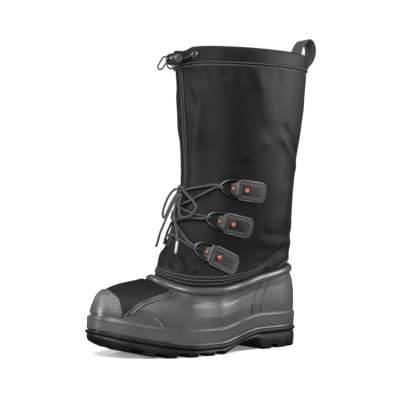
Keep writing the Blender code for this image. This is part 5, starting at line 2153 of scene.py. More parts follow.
@dataclass
class Tab:
    """One leather tab with its strap, D-ring, rivets and stitches, laid on the shaft."""

    word: str
    level: float
    turn_degrees: float
    tilt_degrees: float
    side: Side
    length: float = 0.0385
    height: float = 0.0250
    thickness: float = 0.0024
    corner: float = 0.0080
    strap_height: float = 0.0170
    strap_taper: float = 0.0030
    strap_thickness: float = 0.0014
    ring_length: float = 0.0230
    ring_height: float = 0.0240
    wire: float = 0.0022
    ring_tilt: float = 0.0026
    tab_rivet: float = 0.0068
    strap_rivet: float = 0.0048
    dome: float = 0.0014
    base: float = 0.00045
    gap: float = 0.0003
    lace_radius: float = 0.0016

    EDGE = Leather("cut_edge_finish", (0.080, 0.079, 0.078), (0.220, 0.215, 0.210), 0.5)
    STRAP = Leather("strap_leather_finish", (0.020, 0.020, 0.020), (0.058, 0.057, 0.056), 0.36)
    RIM = Metal("dark_rim_finish", (0.05, 0.05, 0.05), (0.02, 0.02, 0.02))
    RIVET = {  # share of the head's radius and of its dome's height
        "rim": ((1.0, 0.0), (1.0, 0.30), (0.94, 0.48), (0.84, 0.50), (0.78, 0.36)),
        "dome": (
            (0.79, 0.30), (0.76, 0.62), (0.66, 0.82), (0.46, 0.95), (0.22, 1.0), (0.0, 1.01),
        ),
    }
    # Share of the wire's width ahead of the tab, and over the shaft
    ARCH = ((0.14, 0.92), (0.73, 1.26), (1.30, 0.90), (1.86, 0.20), (2.20, 0.00), (4.40, 0.00))

    def __post_init__(self) -> None:
        """Works out the tab's own directions on the shaft."""
        self.turn = self.side.value * math.radians(self.turn_degrees)
        point, around, upward, outward = LAST.frame_at(self.level, self.turn)
        tilt = math.radians(self.tilt_degrees)
        rearward = around * self.side.value
        self.centre = point
        self.along = rearward * math.cos(tilt) - upward * math.sin(tilt)
        self.up = upward * math.cos(tilt) + rearward * math.sin(tilt)
        self.front = -self.length / 2.0
        self.ring_rear = self.front - 0.0016
        self.ring_front = self.ring_rear - self.ring_length + self.wire
        self.lace_start = self.ring_front - self.wire / 2.0 - self.gap - self.lace_radius
        self.tail = f"{self.word}_{self.side.word}"

    def spot(self, along: float, up: float) -> tuple[float, float]:
        """Level and turn at distances rearwards and up from the centre.

        Args:
            along: Distance rearwards.
            up: Distance up.

        Returns:
            Level and turn.
        """
        place, turn, step = self.level, self.turn, 0.01
        for _ in range(5):
            point = LAST.skin(place, turn)
            miss = point - self.centre
            want_along = along - miss.dot(self.along)
            want_up = up - miss.dot(self.up)
            by_level = (LAST.skin(place + step, turn) - point) / step
            by_turn = (LAST.skin(place, turn + step) - point) / step
            a, b = by_level.dot(self.along), by_turn.dot(self.along)
            c, d = by_level.dot(self.up), by_turn.dot(self.up)
            scale = a * d - b * c
            place += (want_along * d - want_up * b) / scale
            turn += (want_up * a - want_along * c) / scale
        return place, turn

    def at(self, along: float, up: float, offset: float) -> Vector:
        """Point off the surface at distances rearwards and up from the centre."""
        place, turn = self.spot(along, up)
        return LAST.off(place, turn, offset)

    def stations(self, start: float, straight: int, curved: int, inset: float = 0.0) -> list[float]:
        """Distances rearwards from the centre, closer together at the rounded rear.

        Args:
            start: The first.
            straight: Steps up to the corner.
            curved: Steps round the corner.
            inset: Width of the border that is left off.

        Returns:
            The distances.
        """
        rear, corner = self.length / 2.0 - inset, self.corner - inset * 0.5
        places = [lerp(start, rear - corner, step / straight) for step in range(straight)]
        return places + [
            rear - corner + corner * math.sin(step / curved * math.pi / 2.0)
            for step in range(curved + 1)
        ]

    def reach(self, along: float, inset: float = 0.0) -> float:
        """Half height of the tab at a distance rearwards, less a border.

        Args:
            along: Distance rearwards from the centre.
            inset: Width of the border that is left off.

        Returns:
            Half height.
        """
        rear = self.length / 2.0 - inset
        corner = self.corner - inset * 0.5
        beyond = min(max(0.0, along - (rear - corner)), corner)
        drop = corner - math.sqrt(max(corner**2 - beyond**2, 0.0))
        neck = 1.0 - ease((along - self.front) / 0.0030)
        drop = max(drop, ((self.height - self.strap_height) / 2.0 - 0.001) * neck)
        return self.height / 2.0 - inset - drop

    def build(self) -> None:
        """Builds the tab with all that is on it."""
        flip = self.side is Side.INNER
        rear = self.length / 2.0
        stations = [self.front + 0.0030 * step / 5.0 for step in range(5)]
        stations += self.stations(self.front + 0.003, 10, 12)
        columns, rows = len(stations) - 1, 22

        def lay(across: float, share: float) -> Vector:
            """Point of the surface for shares across and along."""
            along = stations[round(across * columns)]
            reach = self.reach(along)
            side = share * 2.0 - 1.0
            up = reach * math.copysign(1.0 - (1.0 - abs(side)) ** 1.35, side)
            border = min(rear - along, reach - abs(up), (along - self.front) * 1.5 + 0.0004)
            channel = math.exp(-(((border - 0.0030) / 0.0006) ** 2))
            crown = ease((border - 0.003) / 0.006)
            rise = self.thickness * (0.48 + 0.38 * rolled(border / 0.0016) + 0.14 * crown)
            return self.at(along, up, self.base + rise - 0.00035 * channel)

        item = laid_pad(f"tab_leather_{self.tail}", columns, rows, lay, 0.0010, flip)
        dress(item, Slot.LEATHER, Slot.LEATHER, [f"tab_{self.tail}"])
        outline = [(along, self.reach(along)) for along in stations]
        outline += [(along, -up) for along, up in reversed(outline)]
        path = [self.at(along, up, self.base + self.thickness * 0.42) for along, up in outline]
        item = tube(f"tab_edge_{self.tail}", smooth_path(path, 0.0012), 0.00062, 8)
        dress(item, self.EDGE, Slot.LEATHER)
        self.build_strap(flip)
        self.build_ring()
        for word, along, under, width in (
            ("tab_rivet", self.front + 0.0102, self.thickness, self.tab_rivet),
            ("keeper_rivet", self.front - 0.0072, self.strap_thickness, self.strap_rivet),
        ):
            self.build_rivet(word, along, self.base + under, width)

    def build_strap(self, flip: bool) -> None:
        """Strap that bridges the ring's bar and is riveted in front of it.

        Args:
            flip: Whether its grid faces the other way.
        """
        arches = smooth_path([(ahead * 10.0, height, 0.0) for ahead, height in self.ARCH], 1.6)
        last = self.ARCH[-1][0]
        columns, rows = len(arches) - 1, 12

        def lay(across: float, share: float) -> Vector:
            """Point of the surface for shares across and along."""
            arch = arches[columns - round(across * columns)]
            ahead = arch.x / 10.0
            tip = max(0.0, (ahead - last + 1.1) / 1.1)
            half = self.strap_height / 2.0 - self.strap_taper * (ahead / last) ** 2
            half *= 1.0 - 0.30 * (1.0 - math.sqrt(max(1.0 - tip * tip, 0.0)))
            side = share * 2.0 - 1.0
            rise = 0.65 + 0.35 * rolled((1.0 - abs(side)) * half / 0.0010)
            offset = self.base + arch.y * self.wire + self.strap_thickness * rise
            return self.at(self.front - ahead * self.wire, half * side, offset)

        item = laid_pad(f"tab_strap_{self.tail}", columns, rows, lay, 0.0009, flip)
        dress(item, self.STRAP, Slot.LEATHER, [f"keeper_{self.tail}"])

    def ring_points(self) -> list[Vector]:
        """Closed D path of the ring, straight at the strap and rounded in front.

        Returns:
            The points.
        """
        lift = self.base + self.wire / 2.0
        half = self.ring_height / 2.0 - self.wire / 2.0
        span = self.ring_rear - self.ring_front
        path = []
        for step in range(31):
            angle = math.pi * step / 30.0
            path.append((self.ring_rear - span * math.sin(angle) ** 0.75, half * math.cos(angle)))
        path += [(self.ring_rear, -half * share) for share in (0.8, 0.45, 0.0, -0.45, -0.8)]
        return [
            self.at(along, up, lift + self.ring_tilt * (self.ring_rear - along) / span)
            for along, up in path
        ]

    def build_ring(self) -> None:
        """D-ring of round wire."""
        item = tube(f"ring_wire_{self.tail}", self.ring_points(), self.wire * 0.44, 12, closed=True)
        dress(item, Slot.STEEL, Slot.STEEL, [f"ring_{self.tail}"])

    def build_rivet(self, word: str, along: float, base: float, width: float) -> None:
        """Rivet: an enamelled dome in a dark rim, spun about its own axis.

        Args:
            word: First word of its names.
            along: Distance rearwards from the tab's centre.
            base: Height of what it sits on, off the shaft.
            width: Width of the head.
        """
        place, turn = self.spot(along, 0.0)
        point, around, _, outward = LAST.frame_at(place, turn)
        pieces = []
        for name, shares in self.RIVET.items():
            profile = [
                (radius * width / 2.0, base + self.gap + rise * self.dome)
                for radius, rise in shares
            ]
            pieces.append(
                turned(f"{word}_{name}_{self.tail}", point, outward, profile, 20, around, 60.0)
            )
        dress(pieces[0], self.RIM, Slot.STEEL)
        dress(pieces[1], Slot.ENAMEL, Slot.ENAMEL, [f"{word}_{self.tail}"])

    def stitch_rows(self) -> list[Trail]:
        """Two rows of stitches inside the tab's edge.

        Returns:
            The rows.
        """
        rows = []
        for inset, rise in ((0.0029, 0.86), (0.0046, 0.93)):
            upper = self.stations(self.front + 0.0032, 12, 8, inset)
            outline = [(along, self.reach(along, inset)) for along in upper]
            outline += [(along, -up) for along, up in reversed(outline)]
            spots = [self.spot(along, up) for along, up in outline]
            rows.append(trail(spots, self.base + self.thickness * rise))
        return rows


@dataclass
class Fittings:
    """Three tabs on each side, and their stitches."""

    tabs: dict[tuple[str, Side], Tab] = field(default_factory=dict)

    TABLE = (  # level, turn and tilt, in degrees
        ("upper", 12.90, 77.5, 7.0), ("middle", 11.50, 72.0, 11.5), ("lower", 9.82, 68.5, 26.0),
    )

    def build(self) -> None:
        """Builds the tabs of both sides."""
        for side in Side:
            rows = []
            for word, level, turn, tilt in self.TABLE:
                tab = Tab(word, level, turn, tilt, side)
                self.tabs[word, side] = tab
                tab.build()
                rows += tab.stitch_rows()
            thread = Stitches(0.0014, 0.0007, 0.00055, 0.0001)
            thread.sew(rows, f"tab_stitches_{side.word}", Slot.LEATHER)


@dataclass
class Lacing:
    """Lace: one run through the six rings, then the knot, two bow loops and two ends."""

    fittings: Fittings
    lace: float = 0.0032
    lift: float = 0.00355
    aside: float = 0.0017
    knot_level: float = 12.95
    knot_stand: float = 0.00715
    knot_width: float = 0.0140
    tip: float = 0.0150

    BAR_LEVEL = 11.05
    LOW_CROSS = 11.62
    HIGH_CROSS = 12.30
    WRAP = (  # millimetres ahead of the ring and over its wire, and share of the girth
        (4.6, 1.0, 1.0), (2.4, 2.3, 1.0), (0.2, 2.78, 1.0), (-1.8, 2.05, 1.0), (-2.6, 0.3, 0.95),
        (-1.9, -1.5, 0.86), (-0.4, -2.35, 0.80), (1.4, -2.35, 0.80), (3.0, -2.1, 0.88),
        (4.8, -1.5, 1.0),
    )
    LOOPS = {
        "lace_loop_outer": (
            (0.0078, -0.0015, 0.0010), (0.0125, -0.0035, -0.0025), (0.0200, -0.0020, -0.0090),
            (0.0265, 0.0010, -0.0160), (0.0300, 0.0030, -0.0235), (0.0290, -0.0010, -0.0310),
            (0.0235, -0.0065, -0.0355), (0.0160, -0.0095, -0.0355), (0.0105, -0.0095, -0.0300),
            (0.0075, -0.0075, -0.0205), (0.0060, -0.0045, -0.0120), (0.0054, -0.0020, -0.0062),
        ),
        "lace_loop_inner": (
            (-0.0078, -0.0015, 0.0010), (-0.0120, -0.0050, -0.0025), (-0.0155, -0.0090, -0.0100),
            (-0.0190, -0.0120, -0.0200), (-0.0212, -0.0135, -0.0290), (-0.0200, -0.0140, -0.0350),
            (-0.0160, -0.0140, -0.0360), (-0.0125, -0.0130, -0.0300), (-0.0090, -0.0100, -0.0200),
            (-0.0066, -0.0060, -0.0115), (-0.0056, -0.0025, -0.0064),
        ),
    }
    ENDS = {
        "lace_end_outer": (
            (0.0018, -0.0030, -0.0070), (0.0020, -0.0075, -0.0150), (0.0022, -0.0105, -0.0240),
            (0.0045, -0.0130, -0.0330), (0.0095, -0.0145, -0.0430), (0.0160, -0.0165, -0.0560),
            (0.0205, -0.0195, -0.0680), (0.0220, -0.0225, -0.0800),
        ),
        "lace_end_inner": (
            (-0.0019, -0.0030, -0.0070), (-0.0035, -0.0090, -0.0170), (-0.0065, -0.0155, -0.0320),
            (-0.0095, -0.0200, -0.0450), (-0.0125, -0.0238, -0.0570), (-0.0145, -0.0262, -0.0680),
            (-0.0155, -0.0275, -0.0730),
        ),
    }

    def build(self) -> None:
        """Builds the free cords first, then the run through the rings."""
        self.centre = LAST.off(self.knot_level, 0.0, self.knot_stand)
        self.build_knot()
        for name, route in self.LOOPS.items():
            self.build_cord(name, route, "object")
        for name, route in self.ENDS.items():
            self.build_cord(name, route, "fitting")
        self.build_run()

    def build_cord(self, name: str, route: Sequence[Sequence[float]], far_end: str) -> None:
        """One free cord of the bow, with its tip where it has one.

        Args:
            name: CAD node that it replaces.
            route: Points from the knot's centre, as in the CAD part.
            far_end: What its far end is.
        """
        points = smooth_path([self.centre + Vector(point) for point in route], 0.0014)
        item = tube(f"{name}_braid", points, self.lace / 2.0, 12)
        dress(item, Slot.BRAID, Slot.BRAID, [name])
        if far_end == "fitting":
            count = round(self.tip / 0.0014)
            way = (points[-1] - points[-2]).normalized()
            tip_path = points[-count:-1] + [points[-1] + way * 0.0002, points[-1] + way * 0.0010]

            def girth(share: float) -> float:
                """Share of the tip's girth at a share of its length."""
                return 0.72 if share > 0.97 else (0.98 if share < 0.04 else 1.08 - 0.04 * share)

            tip = tube(f"{name}_tip", tip_path, self.lace / 2.0, 16, girth=girth)
            outer = name.endswith("outer")
            # The outer tip is painted light grey as a painted highlight; the inner tip keeps the
            # dark plastic.
            shade = (0.20, 0.20, 0.21) if outer else (0.014, 0.014, 0.015)
            patch_tone = (0.30, 0.30, 0.31) if outer else (0.03, 0.03, 0.03)
            dress(tip, Plastic(f"{name}_tip_finish", shade, patch_tone, 0.25), Slot.PLASTIC)
        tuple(points[0])
        path_length(points)

    def build_knot(self) -> None:
        """Bow knot: a tight trefoil of the lace under one wrapping turn."""
        unit = (self.knot_width / 2.0 - self.lace / 2.0) / 3.0
        path, band = [], []
        for step in range(72):
            angle = math.tau * step / 72
            across = math.sin(angle) + 2.0 * math.sin(2.0 * angle)
            deep = math.sin(3.0 * angle) * 1.12
            up = (math.cos(angle) - 2.0 * math.cos(2.0 * angle)) * 0.86 - 0.3
            path.append(self.centre + Vector((across, deep, up)) * unit)
        for step in range(40):
            angle = math.tau * step / 40
            sine, cosine = math.sin(angle), math.cos(angle)
            band.append(self.centre + Vector((0.0010 * sine, -0.0038 * cosine, 0.0049 * sine)))
        pieces = [
            tube("knot_weave", path, self.lace / 2.0, 12, closed=True),
            tube("knot_band", band, self.lace / 2.0 * 0.94, 12, closed=True),
        ]
        dress(joined("lace_knot_braid", pieces), Slot.BRAID, Slot.BRAID, ["lace_knot"])

    def wrap(self, tab: Tab, first: float) -> list[tuple[Vector, float]]:
        """Points over a ring's wire, down through the ring and back out under the wire.

        Args:
            tab: Tab whose ring it is.
            first: Height over the tab's middle at which the lace comes in; it goes out as
                far below.

        Returns:
            Points with the share of the lace's girth at each.
        """
        wire = tab.base + tab.wire / 2.0 + tab.ring_tilt
        result = []
        for ahead, height, girth in self.WRAP:
            share = (4.6 - ahead) / 7.2 if height > 0.0 else 1.0
            up = lerp(first, -first, min(max(share, 0.0), 1.0))
            along = tab.ring_front - ahead * 0.001
            result.append((tab.at(along, up, wire + height * 0.001), girth))
        return result

    def leg(
        self, start: tuple[float, float], middle: float, end: tuple[float, float], over: float
    ) -> list[tuple[Vector, float]]:
        """Strand over the front of the shaft from one place to another.

        Args:
            start: Level and turn of its start.
            middle: Level in its middle, or 0 where it runs straight.
            end: Level and turn of its end.
            over: How far it rises in its middle, to pass over another.

        Returns:
            Points with the share of the lace's girth at each.
        """
        bow = middle - (start[0] + end[0]) / 2.0 if middle else 0.0
        result = []
        for step in range(1, 24):
            share = step / 24.0
            rise = math.sin(math.pi * share)
            place = lerp(start[0], end[0], share) + bow * rise
            hump = math.exp(-(((share - 0.5) / 0.13) ** 2))
            offset = self.lift - 0.0006 * rise**0.5 * (1.0 - hump) + over * hump
            result.append((LAST.off(place, lerp(start[1], end[1], share), offset), 1.0))
        return result

    def build_run(self) -> None:
        """The lace's tight run: knot, rings and crossings, as one tube."""
        part = self.aside
        order = (  # ring, height at which it is met, then the next leg's middle and its hump
            ("upper", Side.OUTER, part, self.HIGH_CROSS, 0.0),
            ("middle", Side.INNER, part, self.LOW_CROSS, 0.0),
            ("lower", Side.OUTER, part, self.BAR_LEVEL, 0.0),
            ("lower", Side.INNER, -part, self.LOW_CROSS, self.lace),
            ("middle", Side.OUTER, -part, self.HIGH_CROSS, self.lace),
            ("upper", Side.INNER, part, 0.0, 0.0),
        )
        turn = 0.55 * (self.knot_width / 2.0 + 0.0006) / FRONT_RADIUS
        run: list[tuple[Vector, float]] = []
        start, middle, over = (self.knot_level, turn), 0.0, 0.0
        for word, side, first, after, hump in order:
            tab = self.fittings.tabs[word, side]
            run += self.leg(start, middle, tab.spot(tab.ring_front - 0.006, first), over)
            run += self.wrap(tab, first)
            start, middle, over = tab.spot(tab.ring_front - 0.006, -first), after, hump
        run += self.leg(start, middle, (self.knot_level, -turn), over)
        even = smooth_path([(*point, share) for point, share in run], 0.0015)
        points = [Vector(point[:3]) for point in even]
        item = tube(
            "lace_run", points, self.lace / 2.0, 10,
            girth=lambda along: even[round(along * (len(even) - 1))][3],
        )
        dress(item, Slot.BRAID, Slot.BRAID, ["lace_crossings"])


@dataclass
class Collar:
    """Fittings of the collar: eyelets, drawcord with its lock, and the pull loop."""

    height: float = 0.390
    cuff_height: float = 0.022
    cuff_bulge: float = 0.0016
    gap: float = 0.0003
    eyelet: float = 0.0045
    hole: float = 0.0026
    eyelet_rise: float = 0.0010
    eyelet_turn: float = 21.5
    cord: float = 0.0022
    barrel: float = 0.0075
    barrel_length: float = 0.0190
    standoff: float = 0.0044
    barrel_drop: float = 0.0160
    barrel_shift: float = 0.0015
    bore: float = 0.0060
    button: float = 0.0057
    button_stand: float = 0.0045
    travel: float = 0.0032
    slot_width: float = 0.0044
    slot_height: float = 0.0050
    web_width: float = 0.0230
    web_thickness: float = 0.0014

    CORD_LOOP = (
        (0.0000, -0.0095, 0.0005), (-0.0008, -0.0118, 0.0022), (-0.0024, -0.0142, 0.0010),
        (-0.0044, -0.0170, -0.0042), (-0.0060, -0.0194, -0.0098), (-0.0060, -0.0192, -0.0130),
        (-0.0050, -0.0168, -0.0142), (-0.0034, -0.0138, -0.0122), (-0.0018, -0.0120, -0.0086),
        (-0.0002, -0.0114, -0.0062), (0.0018, -0.0114, -0.0076), (0.0024, -0.0102, -0.0112),
        (0.0022, -0.0066, -0.0130), (0.0010, -0.0020, -0.0124), (-0.0012, 0.0030, -0.0112),
    )

    # Near-black disc in each eyelet: painted shade that stands in for the open hole.
    DARK = Felt("hole_dark_finish", (0.002, 0.002, 0.002), (0.004, 0.004, 0.004))

    def build(self) -> None:
        """Builds the lock, the drawcord, the eyelets and the pull loop."""
        level = self.level_at_height(self.height - self.barrel_drop)
        cuff = LAST.off(level, 0.0, self.cuff_bulge)
        self.centre = Vector((self.barrel_shift, cuff.y - self.standoff - self.barrel, cuff.z))
        self.build_lock()
        self.build_drawcord()
        for side in Side:
            self.build_eyelet(side)
        self.build_pull_loop()

    def level_at_height(self, height: float) -> float:
        """Level at which the front of the shaft reaches a height.

        Args:
            height: Height over the floor.

        Returns:
            The level.
        """
        return halved(
            LAST.shell_level, LAST.collar_level, lambda level: LAST.skin(level, 0.0).z < height, 30
        )

    def eyelet_spot(self, side: Side) -> tuple[float, float]:
        """Level and turn of an eyelet, half way up the cuff."""
        turn = side.value * math.radians(self.eyelet_turn)
        return LAST.below(LAST.collar_level, turn, self.cuff_height * 0.5), turn

    def lead(self, side: Side, drop: float) -> list[Vector]:
        """Points of the cord from an eyelet towards the lock.

        Args:
            side: Side of the boot.
            drop: How far it comes down, in levels.

        Returns:
            The points.
        """
        place, turn = self.eyelet_spot(side)
        stand = self.cuff_bulge + self.cord / 2.0 + 2.0 * self.gap
        way = [LAST.off(place, turn, stand + self.eyelet_rise * 1.8)]
        for share, extra in ((0.76, 1.0), (0.56, 0.0)):
            level = place - drop * (1.0 - share)
            way.append(LAST.off(level, turn * share, stand + extra * self.eyelet_rise))
        return way

    def build_drawcord(self) -> None:
        """Drawcord: from one eyelet through the lock, round its loops and to the other."""
        centre, radius = self.centre, self.cord / 2.0
        rear = centre.y + self.barrel
        behind = rear + self.standoff / 2.0
        points = self.lead(Side.OUTER, 0.25)
        points += [
            Vector((centre.x + 3.4 * radius, behind, centre.z + 0.5 * radius)),
            Vector((centre.x + 1.3 * radius, behind, centre.z)),
            Vector((centre.x + 0.2 * radius, rear + 0.0006, centre.z)),
            Vector((centre.x, rear - self.cord, centre.z)),
            centre.copy(),
        ]
        points += [centre + Vector(point) for point in self.CORD_LOOP]
        points += reversed(self.lead(Side.INNER, 1.2))
        path = smooth_path(points, 0.0011)
        item = tube("drawcord_braid", path, radius, 10)
        dress(item, Braid("thin_braid_finish", plait=0.0011), Slot.BRAID, ["drawcord"])
        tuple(path[0])
        path_length(path)

    def build_lock(self) -> None:
        """Cord lock: a ribbed barrel with its bore, and the button in it."""
        half = self.barrel_length / 2.0
        floor = -half + 0.0030
        width, axis = self.barrel, Vector((1.0, 0.0, 0.0))
        groove = 0.955 * width
        shape = [
            (0.0, -half), (0.55 * width, -half), (0.80 * width, -half + 0.0007),
            (0.94 * width, -half + 0.0018), (width, -half + 0.0032), (width, -0.0045),
            (groove, -0.0040), (groove, -0.0032), (width, -0.0027), (width, 0.0042),
            (groove, 0.0047), (groove, 0.0055), (width, 0.0060), (width, half - 0.0011),
            (0.965 * width, half - 0.0003), (0.91 * width, half), (self.bore + 0.0003, half),
            (self.bore, half - 0.0004), (self.bore, floor), (0.0, floor),
        ]
        barrel = turned("lock_body", self.centre, axis, shape, 40)
        slot = self.slot_width / 2.0
        self.cut_slot(barrel, -slot, slot)
        dress(barrel, Slot.PLASTIC, Slot.PLASTIC, ["lock_barrel"])
        tip = half + self.button_stand
        inner = floor + self.travel + self.gap
        shape = [
            (0.0, inner), (self.button, inner), (self.button, tip - 0.0014),
            (self.button - 0.0003, tip - 0.0006), (self.button - 0.0010, tip - 0.0001),
            (self.button - 0.0018, tip), (0.0022, tip - 0.0005), (0.0, tip - 0.0006),
        ]
        push = turned("lock_push", self.centre, axis, shape, 36)
        self.cut_slot(push, -slot, slot + self.travel)
        finish = Plastic("lock_button_finish", (0.030, 0.030, 0.032), (0.05, 0.05, 0.052), 0.12)
        dress(push, finish, Slot.PLASTIC, ["lock_button"], "button")

    def cut_slot(self, item: bpy.types.Object, low: float, high: float) -> None:
        """Cuts the cord's slot through a turned piece of the lock.

        Args:
            item: The piece.
            low: Near end of the slot along the lock, from its middle.
            high: Far end.
        """
        deselect()
        middle = self.centre + Vector(((low + high) / 2.0, 0.0, 0.0))
        bpy.ops.mesh.primitive_cube_add(size=1.0, location=middle)
        cutter = bpy.context.object
        cutter.scale = (high - low, 4.0 * self.barrel, self.slot_height)
        bpy.ops.object.transform_apply(location=True, rotation=True, scale=True)
        change(cutter, "BEVEL", width=0.0008, segments=2)
        change(item, "BOOLEAN", operation="DIFFERENCE", object=cutter)
        bpy.data.objects.remove(cutter)
        smooth(item, 40.0)

    def build_eyelet(self, side: Side) -> None:
        """Thin rolled ring round a hole, shown as a dark disc of painted shade.

        Args:
            side: Side of the boot.
        """
        place, turn = self.eyelet_spot(side)
        point, _, _, outward = LAST.frame_at(place, turn)
        seat = point + outward * (self.cuff_bulge + 2.0 * self.gap)
        ring, rise, hole = self.eyelet, self.eyelet_rise, self.hole
        shape = [
            (hole, 0.0), (ring, 0.0), (ring, rise * 0.25), (ring * 0.94, rise * 0.75),
            (ring * 0.84, rise), (hole * 1.25, rise * 0.95), (hole * 1.05, rise * 0.6), (hole, 0.0),
        ]
        item = turned(f"eyelet_ring_{side.word}", seat, outward, shape, 32)
        dress(item, Slot.STEEL, Slot.STEEL, [f"eyelet_{side.word}"])
        # Dark disc of painted shade in place of the open hole.
        shape = [(0.0, rise * 0.1), (hole * 0.7, rise * 0.12), (hole * 1.04, rise * 0.3)]
        item = turned(f"eyelet_hole_{side.word}", seat, outward, shape, 24)
        dress(item, self.DARK, Slot.NYLON)

    def sag(self, x: float) -> float:
        """How far the collar curves forwards at a distance to the side of its back.

        Args:
            x: Distance to the side.

        Returns:
            The distance.
        """
        turn = math.pi
        for _ in range(8):
            turn += (LAST.skin(LAST.collar_level, turn).x - x) / 0.0575
        return LAST.skin(LAST.collar_level, math.pi).y - LAST.skin(LAST.collar_level, turn).y

    def build_pull_loop(self) -> None:
        """Webbing loop over the back of the collar, from inside it to outside, sewn on the outside.
        """
        rim = LAST.skin(LAST.collar_level, math.pi)
        inside = -(0.002 + 4.0 * self.gap + self.web_thickness / 2.0)
        outside = self.cuff_bulge + 2.0 * self.gap + self.web_thickness / 2.0
        folds = (
            (inside, -0.0200, 1.0), (inside, -0.0080, 1.0), (inside, 0.0010, 1.0),
            (inside + 0.0008, 0.0120, 0.7), (0.0025, 0.0230, 0.3), (0.0090, 0.0285, 0.0),
            (0.0160, 0.0270, 0.0), (0.0205, 0.0195, 0.0), (0.0205, 0.0090, 0.0),
            (0.0165, -0.0010, 0.2), (0.0100, -0.0090, 0.6), (outside + 0.0016, -0.0150, 0.9),
            (outside, -0.0195, 1.0), (outside, -0.0260, 1.0),
        )
        scale, step = 0.01, 0.0016
        line = smooth_path([(behind, over, hug * scale) for behind, over, hug in folds], step)
        last = len(line) - 1

        def lay(across: float, along: float) -> Vector:
            """Point of the surface for shares across and along."""
            x = self.web_width * (across - 0.5)
            fold = line[round(along * last)]
            return Vector((x, rim.y + fold.x - fold.z / scale * self.sag(x), rim.z + fold.y))

        item = laid_grid("pull_loop_webbing", 12, last, lay)
        change(item, "SOLIDIFY", thickness=self.web_thickness, offset=0.0)
        change(item, "BEVEL", width=0.00035, segments=2, limit_method="ANGLE")
        smooth(item, 50.0)
        dress(item, Slot.WEBBING, Slot.WEBBING, ["pull_loop"])
        rear = Vector((0.0, 1.0, 0.0))
        rows = []
        for down in (0.0015, 0.0040, 0.0065):
            along = max(0, last - round(down / step)) / last
            points = [
                lay(column / 12.0, along) + rear * self.web_thickness / 2.0
                for column in range(1, 12)
            ]
            rows.append((points, [rear] * len(points)))
        Stitches(0.0018, 0.0008, 0.0006).sew(rows, "pull_loop_stitches", Slot.WEBBING)


@dataclass
class Sewing:
    """Seam strip down the front, the rows of stitches on the cloth, and the insole."""

    shaft: Shaft
    width: float = 0.0080
    base: float = 0.00045
    rise: float = 0.0009
    low_level: float = 10.4
    insole_inset: float = 0.0089
    insole_thickness: float = 0.0040

    CUFF_ROWS = ((0.0203, 0.00165), (0.0234, 0.0002))  # distance under the rim, and off the cloth
    BAND_ROWS = (0.34, 0.56, 0.78)  # levels over the shell's upper edge
    INSOLE = (  # share of the way to the edge, and share of the thickness
        (0.0, 1.0), (0.35, 1.0), (0.7, 1.0), (0.9, 0.97), (0.97, 0.86), (1.0, 0.60), (1.0, 0.10),
        (0.98, 0.0), (0.7, 0.0), (0.0, 0.0),
    )

    def build(self) -> None:
        """Builds the strip, the stitches and the insole."""
        self.build_strip()
        self.build_rows()
        self.build_insole()

    def build_strip(self) -> None:
        """Lapped strip with raised edges over the seam in front."""
        top = self.shaft.cuff_foot(0.0) - 0.08
        half = self.width / 2.0 / FRONT_RADIUS

        def lay(across: float, along: float) -> Vector:
            """Point of the surface for shares across and along."""
            side = across * 2.0 - 1.0
            edge = ease((1.0 - abs(side)) / 0.16)
            channel = math.exp(-(((abs(side) - 0.66) / 0.07) ** 2))
            lift = self.rise * (0.35 + 0.65 * edge) - 0.00025 * channel
            level = lerp(self.low_level, top, along)
            return LAST.off(level, side * half, self.base + lift)

        item = laid_pad("front_seam_strip", 16, 90, lay, 0.0005)
        dress(item, Slot.NYLON, Slot.NYLON, ["front_seam"])
        levels = [lerp(self.low_level + 0.02, top - 0.02, step / 150.0) for step in range(151)]
        rows = [
            trail([(level, side * half) for level in levels], self.base + self.rise * 0.8)
            for side in (-0.66, 0.66)
        ]
        Stitches(0.0019, 0.0008, 0.0006, 0.0001).sew(rows, "front_seam_stitches", Slot.NYLON)

    def ring_row(self, level_of: Callable[[float], float], offset: float) -> Trail:
        """Row all round the shaft, at a level for every turn and a distance off it."""
        turns = [math.tau * (step + 0.5) / 220 - math.pi for step in range(221)]
        return trail([(level_of(turn), turn) for turn in turns], offset)

    def build_rows(self) -> None:
        """Rows under the cuff and above the rolled bead."""
        cuff = [
            self.ring_row(lambda turn, drop=drop: LAST.below(LAST.collar_level, turn, drop), offset)
            for drop, offset in self.CUFF_ROWS
        ]
        Stitches(0.0021, 0.0009, 0.0006, 0.0001).sew(cuff, "cuff_stitches", Slot.NYLON)
        levels = [LAST.shell_level + above for above in self.BAND_ROWS]
        band = [
            self.ring_row(lambda turn, level=level: level, self.shaft.inset(level))
            for level in levels
        ]
        Stitches(0.0020, 0.0009, 0.0007, 0.0001).sew(band, "band_stitches", Slot.NYLON)

    def build_insole(self) -> None:
        """Felt insole on the outsole, just inside the shell."""
        sole = Outsole()
        last = len(self.INSOLE) - 1

        def lay(across: float, along: float) -> Vector:
            """Point of the surface for shares across and along."""
            turn = math.tau * across
            share, up = self.INSOLE[round(along * last)]
            lift = self.base + self.insole_thickness * up
            edge = sole.wall_point(turn, self.insole_inset, lambda y: LAST.lip_height(y) + lift)
            spine_y = edge.y * 0.86
            middle = Vector((LAST.outline_at(spine_y)[0], spine_y, LAST.lip_height(spine_y) + lift))
            return middle.lerp(edge, share)

        item = laid_grid("insole_felt", 96, last, lay)
        mend(item)
        smooth(item, 60.0)
        dress(item, Slot.FELT, Slot.FELT, ["insole"])


# Stage


class SoftBox(NamedTuple):
    """A soft light: its place from the boot as the camera sees it, its size and radiance."""

    name: str
    right: float
    near: float
    height: float
    width: float
    depth: float
    aim: float
    radiance: float


